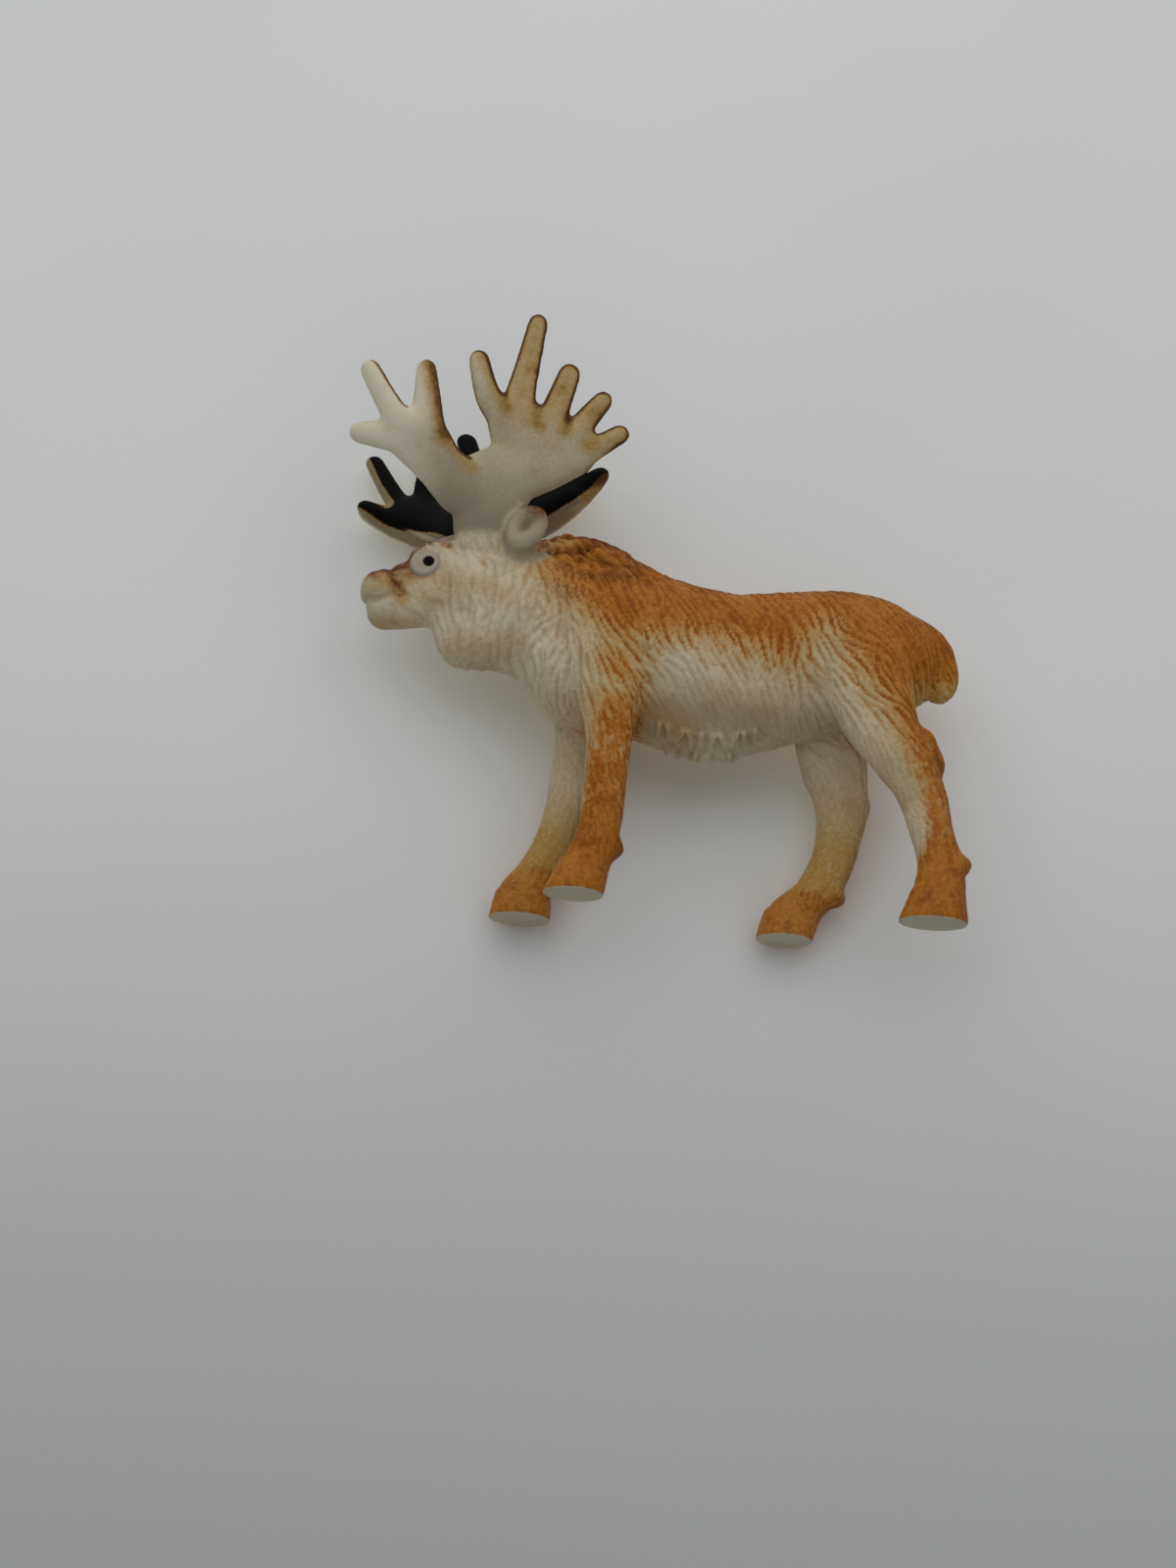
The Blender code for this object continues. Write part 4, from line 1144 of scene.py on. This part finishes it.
def ramp(tree, value, low, high):
    """0 below low, 1 above high, smooth in between."""
    inputs = {"Value": value, "From Min": low, "From Max": high}
    return node(tree, "ShaderNodeMapRange", inputs, interpolation_type="SMOOTHSTEP").outputs[0]


def blend(tree, factor, a, b):
    """A mix of two colours, each a socket or four numbers."""
    return node(tree, "ShaderNodeMix", {0: factor, 6: a, 7: b}, data_type="RGBA").outputs[2]


def noise_texture(tree, place, scale, detail):
    inputs = {"Vector": place, "Scale": scale, "Detail": detail, "Roughness": 0.6}
    return node(tree, "ShaderNodeTexNoise", inputs).outputs[0]


def colour(red, green, blue):
    """A linear colour from the 0 to 255 values of a colour picker."""
    shares = (red / 255, green / 255, blue / 255)
    linear = (c / 12.92 if c <= 0.04045 else ((c + 0.055) / 1.055) ** 2.4 for c in shares)
    return (*linear, 1.0)


def settle(made, values):
    """Sets a node's unwired inputs by name."""
    for name, value in values.items():
        made.inputs[name].default_value = value


def new_group(name, size, outputs):
    """A node group that takes a size in mm: itself, the place, the noise scale and its outputs."""
    group = bpy.data.node_groups.new(name, "ShaderNodeTree")
    socket = group.interface.new_socket("Size", in_out="INPUT", socket_type="NodeSocketFloat")
    socket.default_value = size
    for output in outputs:
        group.interface.new_socket(output, in_out="OUTPUT", socket_type="NodeSocketFloat")
    entry, leave = group.nodes.new("NodeGroupInput"), group.nodes.new("NodeGroupOutput")
    place = node(group, "ShaderNodeTexCoord").outputs["Object"]
    scale = calculated(group, "DIVIDE", 1.0 / MM, entry.outputs["Size"])
    return group, place, scale, leave


# %% Shared groups
grain_group, place, scale, leave = new_group("plastic_grain", 0.2, ("Height", "Sheen"))
fine = noise_texture(grain_group, place, scale, 3.0)
broad = noise_texture(grain_group, place, times(grain_group, scale, 0.07), 2.0)
sheen = times(grain_group, plus(grain_group, fine, broad), 0.5)
grain_group.links.new(fine, leave.inputs["Height"])
grain_group.links.new(sheen, leave.inputs["Sheen"])

mottle_group, place, scale, leave = new_group("paint_mottle", 0.5, ("Speckle", "Cloud"))
speckle = noise_texture(mottle_group, place, scale, 4.0)
cloud = noise_texture(mottle_group, place, times(mottle_group, scale, 0.12), 2.0)
mottle_group.links.new(speckle, leave.inputs["Speckle"])
mottle_group.links.new(cloud, leave.inputs["Cloud"])
print("groups:", grain_group.name, mottle_group.name)


# %% Start of every finish
SHEEN_SPREAD, MOTTLE_SIZE = 0.14, 0.42


def new_finish(name, roughness, grain_size, bump_depth):
    """A material with its tree and shader, grained, and a speckle and a cloud to colour it with."""
    made = bpy.data.materials.new(name)
    made.use_nodes = True
    tree = made.node_tree
    shader = tree.nodes["Principled BSDF"]
    grain = node(tree, "ShaderNodeGroup", node_tree=grain_group)
    settle(grain, {"Size": grain_size})
    height = {"Height": grain.outputs["Height"], "Distance": bump_depth * MM}
    bump = node(tree, "ShaderNodeBump", height)
    tree.links.new(bump.outputs[0], shader.inputs["Normal"])
    spread = times(tree, ramp(tree, grain.outputs["Sheen"], 0.3, 0.7), SHEEN_SPREAD)
    uneven = plus(tree, spread, roughness - SHEEN_SPREAD / 2)
    tree.links.new(uneven, shader.inputs["Roughness"])
    mottle = node(tree, "ShaderNodeGroup", node_tree=mottle_group)
    settle(mottle, {"Size": MOTTLE_SIZE})
    return made, tree, shader, mottle.outputs["Speckle"], mottle.outputs["Cloud"]


def mark(tree, name):
    """The number that the mesh carries under this name."""
    return node(tree, "ShaderNodeAttribute", attribute_name=name).outputs["Fac"]


# %% [markdown]
# ## The toy's paint
# The layers go on as in the factory, and painted shade goes in with them. Cream plastic comes
# first, greyed with painted shade in the grooves of the fur, the ear dishes, under the belly and on
# the antler stalks. The orange spray covers where there is much of it, and at its edge it shows only
# in the grooves, which is what makes the hair visible from afar. Then come the brown dust, the ochre
# and the black of the inner antlers, which is a brush coat and so has a firm edge. The soles stay bare.

# %% Cream plastic and painted shade
CREAM, CREAM_GREY = colour(214, 203, 174), colour(197, 186, 156)
GROOVE_SHADE_GREY, STAIN = colour(144, 132, 106), colour(176, 136, 66)
SHADE_GREY, DEEP_SHADE_GREY, BARE = colour(140, 130, 108), colour(86, 76, 62), colour(224, 218, 198)

toy_paint, tree, shader, speckle, cloud = new_finish("toy_paint", 0.56, 0.24, 0.06)
settle(shader, {"Specular IOR Level": 0.16, "Subsurface Weight": 0.12})
settle(shader, {"Subsurface Radius": (1.0, 0.7, 0.45), "Subsurface Scale": 0.7 * MM})
grooved = mark(tree, "groove")
uneven = times(tree, plus(tree, cloud, speckle), 0.5)
skin = blend(tree, ramp(tree, uneven, 0.4, 0.6), CREAM, CREAM_GREY)
# Painted shade in the grooves of the fur: the cream turns greyer there.
skin = blend(tree, times(tree, grooved, 0.28), skin, GROOVE_SHADE_GREY)
# Painted shade from the mesh's shade mark: greyer in the ear dishes, under the belly and on the antler
# stalks, and darker still where the mark is strongest.
skin = blend(tree, times(tree, mark(tree, "hollow"), 0.9), skin, SHADE_GREY)
skin = blend(tree, ramp(tree, mark(tree, "hollow"), 0.9, 1.9), skin, DEEP_SHADE_GREY)
skin = blend(tree, mark(tree, "bare"), skin, BARE)
stained = times(tree, mark(tree, "stain"), ramp(tree, speckle, -0.3, 0.8))
skin = blend(tree, stained, skin, STAIN)

# %% Orange and brown
ORANGE, ORANGE_DEEP = colour(184, 118, 36), colour(144, 76, 6)
BROWN, BROWN_DEEP = colour(108, 56, 18), colour(76, 38, 12)
THIN_ORANGE = colour(184, 126, 50)

wet = plus(tree, mark(tree, "spray"), times(tree, speckle, 0.5))
painted = ramp(tree, wet, 0.3, 1.16)
thick = plus(tree, times(tree, grooved, 0.2), speckle)
thick = plus(tree, thick, times(tree, cloud, 0.6))
orange = blend(tree, ramp(tree, thick, 0.6, 1.14), ORANGE, ORANGE_DEEP)
orange = blend(tree, ramp(tree, wet, 0.64, 1.2), THIN_ORANGE, orange)
skin = blend(tree, painted, skin, orange)
dusted = times(tree, mark(tree, "brown"), ramp(tree, thick, 0.4, 1.0))
skin = blend(tree, dusted, skin, blend(tree, grooved, BROWN, BROWN_DEEP))

# %% Ochre and black of the antlers
OCHRE, OCHRE_BROWN = colour(172, 132, 58), colour(86, 50, 16)
BLACK = colour(10, 9, 8)

rubbed = plus(tree, mark(tree, "ochre"), times(tree, speckle, 0.5))
ochre = blend(tree, ramp(tree, rubbed, 0.9, 1.5), OCHRE, OCHRE_BROWN)
skin = blend(tree, ramp(tree, rubbed, 0.28, 1.3), skin, ochre)
skin = blend(tree, ramp(tree, mark(tree, "inner"), 0.3, 0.7), skin, BLACK)
tree.links.new(skin, shader.inputs["Base Color"])

# %% Matt black of the inner antlers
matt_black = toy_paint.copy()
matt_black.name = "matt_black"
black_shader = matt_black.node_tree.nodes["Principled BSDF"]
settle(black_shader, {"Specular IOR Level": 0.05, "Subsurface Weight": 0.0})

# %% [markdown]
# ## Eye paint
# The eye is the cream plastic again, a little greyer, smoother and duller, with one black dot.

# %% Eye finish
eye_paint, tree, shader, speckle, cloud = new_finish("eye_paint", 0.5, 0.2, 0.01)
settle(shader, {"Specular IOR Level": 0.05})
skin = blend(tree, speckle, colour(186, 176, 156), colour(160, 150, 132))
skin = blend(tree, mark(tree, "pupil"), skin, BLACK)
tree.links.new(skin, shader.inputs["Base Color"])


# %% Put the pieces in the frame
def finished_piece(name, mesh, materials):
    """The mesh, moved from the drawing into the frame, as a smooth object of the moose."""
    mesh.transform(Matrix.Scale(MM, 4) @ Matrix.Translation(OFFSET))
    mesh.materials.clear()
    for material in materials:
        mesh.materials.append(material)
    mesh.shade_smooth()
    made = new_object(name, mesh)
    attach(made, "root")
    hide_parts("moose")
    return made


# Faces blacker than this take the matt finish
MATT_FROM = 0.8
pieces = [finished_piece("eyes", eye_mesh, (eye_paint,))]
for name, mesh in (("head", head_mesh), ("body", body_mesh)):
    blackness = np.empty(len(mesh.vertices))
    mesh.attributes["inner"].data.foreach_get("value", blackness)
    first_corners = np.array([face.vertices[0] for face in mesh.polygons])
    pieces.append(finished_piece(name, mesh, (toy_paint, matt_black)))
    matt = blackness[first_corners] > MATT_FROM
    mesh.polygons.foreach_set("material_index", matt.astype(np.int32))
for piece in pieces:
    piece.data.calc_loop_triangles()
    print(piece.name, len(piece.data.loop_triangles), "triangles")

# %% [markdown]
# ## Paper and floor
# In the picture the toy lies on a sheet of pale paper, which is a plane close behind the standing
# figure: it almost touches the far antler and the far hooves. A floor lies under the soles for the other
# views. Both are seen from one side only. Their backs are clear, so that the camera, which is lower
# than the floor, looks through it, as through the missing wall of a stage set.


# %% Paper and floor
def sheet(name, tint, centre, normal, seen_only_by_camera):
    """A large square, solid from the side that its normal points to and clear from behind."""
    material = bpy.data.materials.new(name)
    material.use_nodes = True
    tree = material.node_tree
    shader = tree.nodes["Principled BSDF"]
    place = node(tree, "ShaderNodeTexCoord").outputs["Object"]
    fibre = noise_texture(tree, place, 1400.0, 4.0)
    shade = noise_texture(tree, place, 12.0, 2.0)
    darker, bottom_shade = (tuple(share * c for c in tint[:3]) + (1.0,) for share in (0.95, 0.62))
    height = node(tree, "ShaderNodeSeparateXYZ", {0: place}).outputs["Z"]
    tone = blend(tree, ramp(tree, shade, 0.3, 0.7), tint, darker)
    # Painted shade: the sheet darkens downwards from 3 cm above the soles' level, as the room light falls
    # off towards the bottom. The floor, at the soles' level, is a little darker all over.
    tone = blend(tree, ramp(tree, height, 0.03, -0.09), tone, bottom_shade)
    tree.links.new(tone, shader.inputs["Base Color"])
    settle(shader, {"Roughness": 0.8, "Specular IOR Level": 0.2})
    bump = node(tree, "ShaderNodeBump", {"Height": fibre, "Distance": 0.00003})
    tree.links.new(bump.outputs[0], shader.inputs["Normal"])
    rays = node(tree, "ShaderNodeLightPath").outputs
    back = node(tree, "ShaderNodeNewGeometry").outputs["Backfacing"]
    if seen_only_by_camera:
        hidden = calculated(tree, "SUBTRACT", 1.0, rays["Is Camera Ray"])
    else:
        hidden = rays["Is Shadow Ray"]
    clear = node(tree, "ShaderNodeBsdfTransparent").outputs[0]
    choice = calculated(tree, "MAXIMUM", back, hidden)
    mixed = node(tree, "ShaderNodeMixShader", {0: choice, 1: shader.outputs[0], 2: clear})
    tree.links.new(mixed.outputs[0], tree.nodes["Material Output"].inputs["Surface"])

    square = bmesh.new()
    turn = Vector(normal).to_track_quat("Z", "Y").to_matrix().to_4x4()
    place = Matrix.Translation(centre) @ turn
    bmesh.ops.create_grid(square, x_segments=1, y_segments=1, size=SHEET_SIZE / 2, matrix=place)
    mesh = mesh_of(square, name)
    mesh.materials.append(material)
    new_object(name, mesh)


SHEET_SIZE = 1.2
PAPER_LEAN = radians(4.6)
PAPER_FOOT = 7.45
paper_normal = (0.0, -cos(PAPER_LEAN), sin(PAPER_LEAN))
sheet("paper", colour(231, 233, 232), to_frame(0.0, PAPER_FOOT, 0.0), paper_normal, False)
sheet("floor", colour(226, 227, 226), (0.0, 0.0, 0.0), (0.0, 0.0, 1.0), True)

# %% [markdown]
# ## Light
# The room light is even and comes from above the top of the picture, so the back is lit, the belly
# and the far legs are in soft shade and the paper darkens towards the bottom. One wide lamp and a
# pale surround do most of this, helped by painted shade on the paper's lower part and under the
# toy's belly. A weaker lamp on the far side is for views of the toy's right side.


# %% Lamps and surround
def softbox(name, place, size, power, tint):
    """A square lamp at this place of the drawing, aimed at the middle of the toy."""
    data = bpy.data.lights.new(name, "AREA")
    data.shape = "SQUARE"
    data.size = size
    data.energy = power
    data.color = tint
    made = new_object(name, data)
    made.location = to_frame(*place)
    toward = to_frame(*LAMP_AIM) - made.location
    made.rotation_euler = toward.to_track_quat("-Z", "Y").to_euler()


LAMP_AIM = (0.0, 0.0, 25.0)
softbox("window", (-20.0, -200.0, 190.0), 0.5, 0.54, (1.0, 0.985, 0.96))
softbox("far_side", (60.0, 330.0, 220.0), 0.35, 0.7, (1.0, 0.99, 0.97))
surround = bpy.data.worlds.new("surround")
surround.use_nodes = True
background = surround.node_tree.nodes["Background"]
settle(background, {"Color": (0.94, 0.97, 1.0, 1.0), "Strength": 0.33})
bpy.context.scene.world = surround
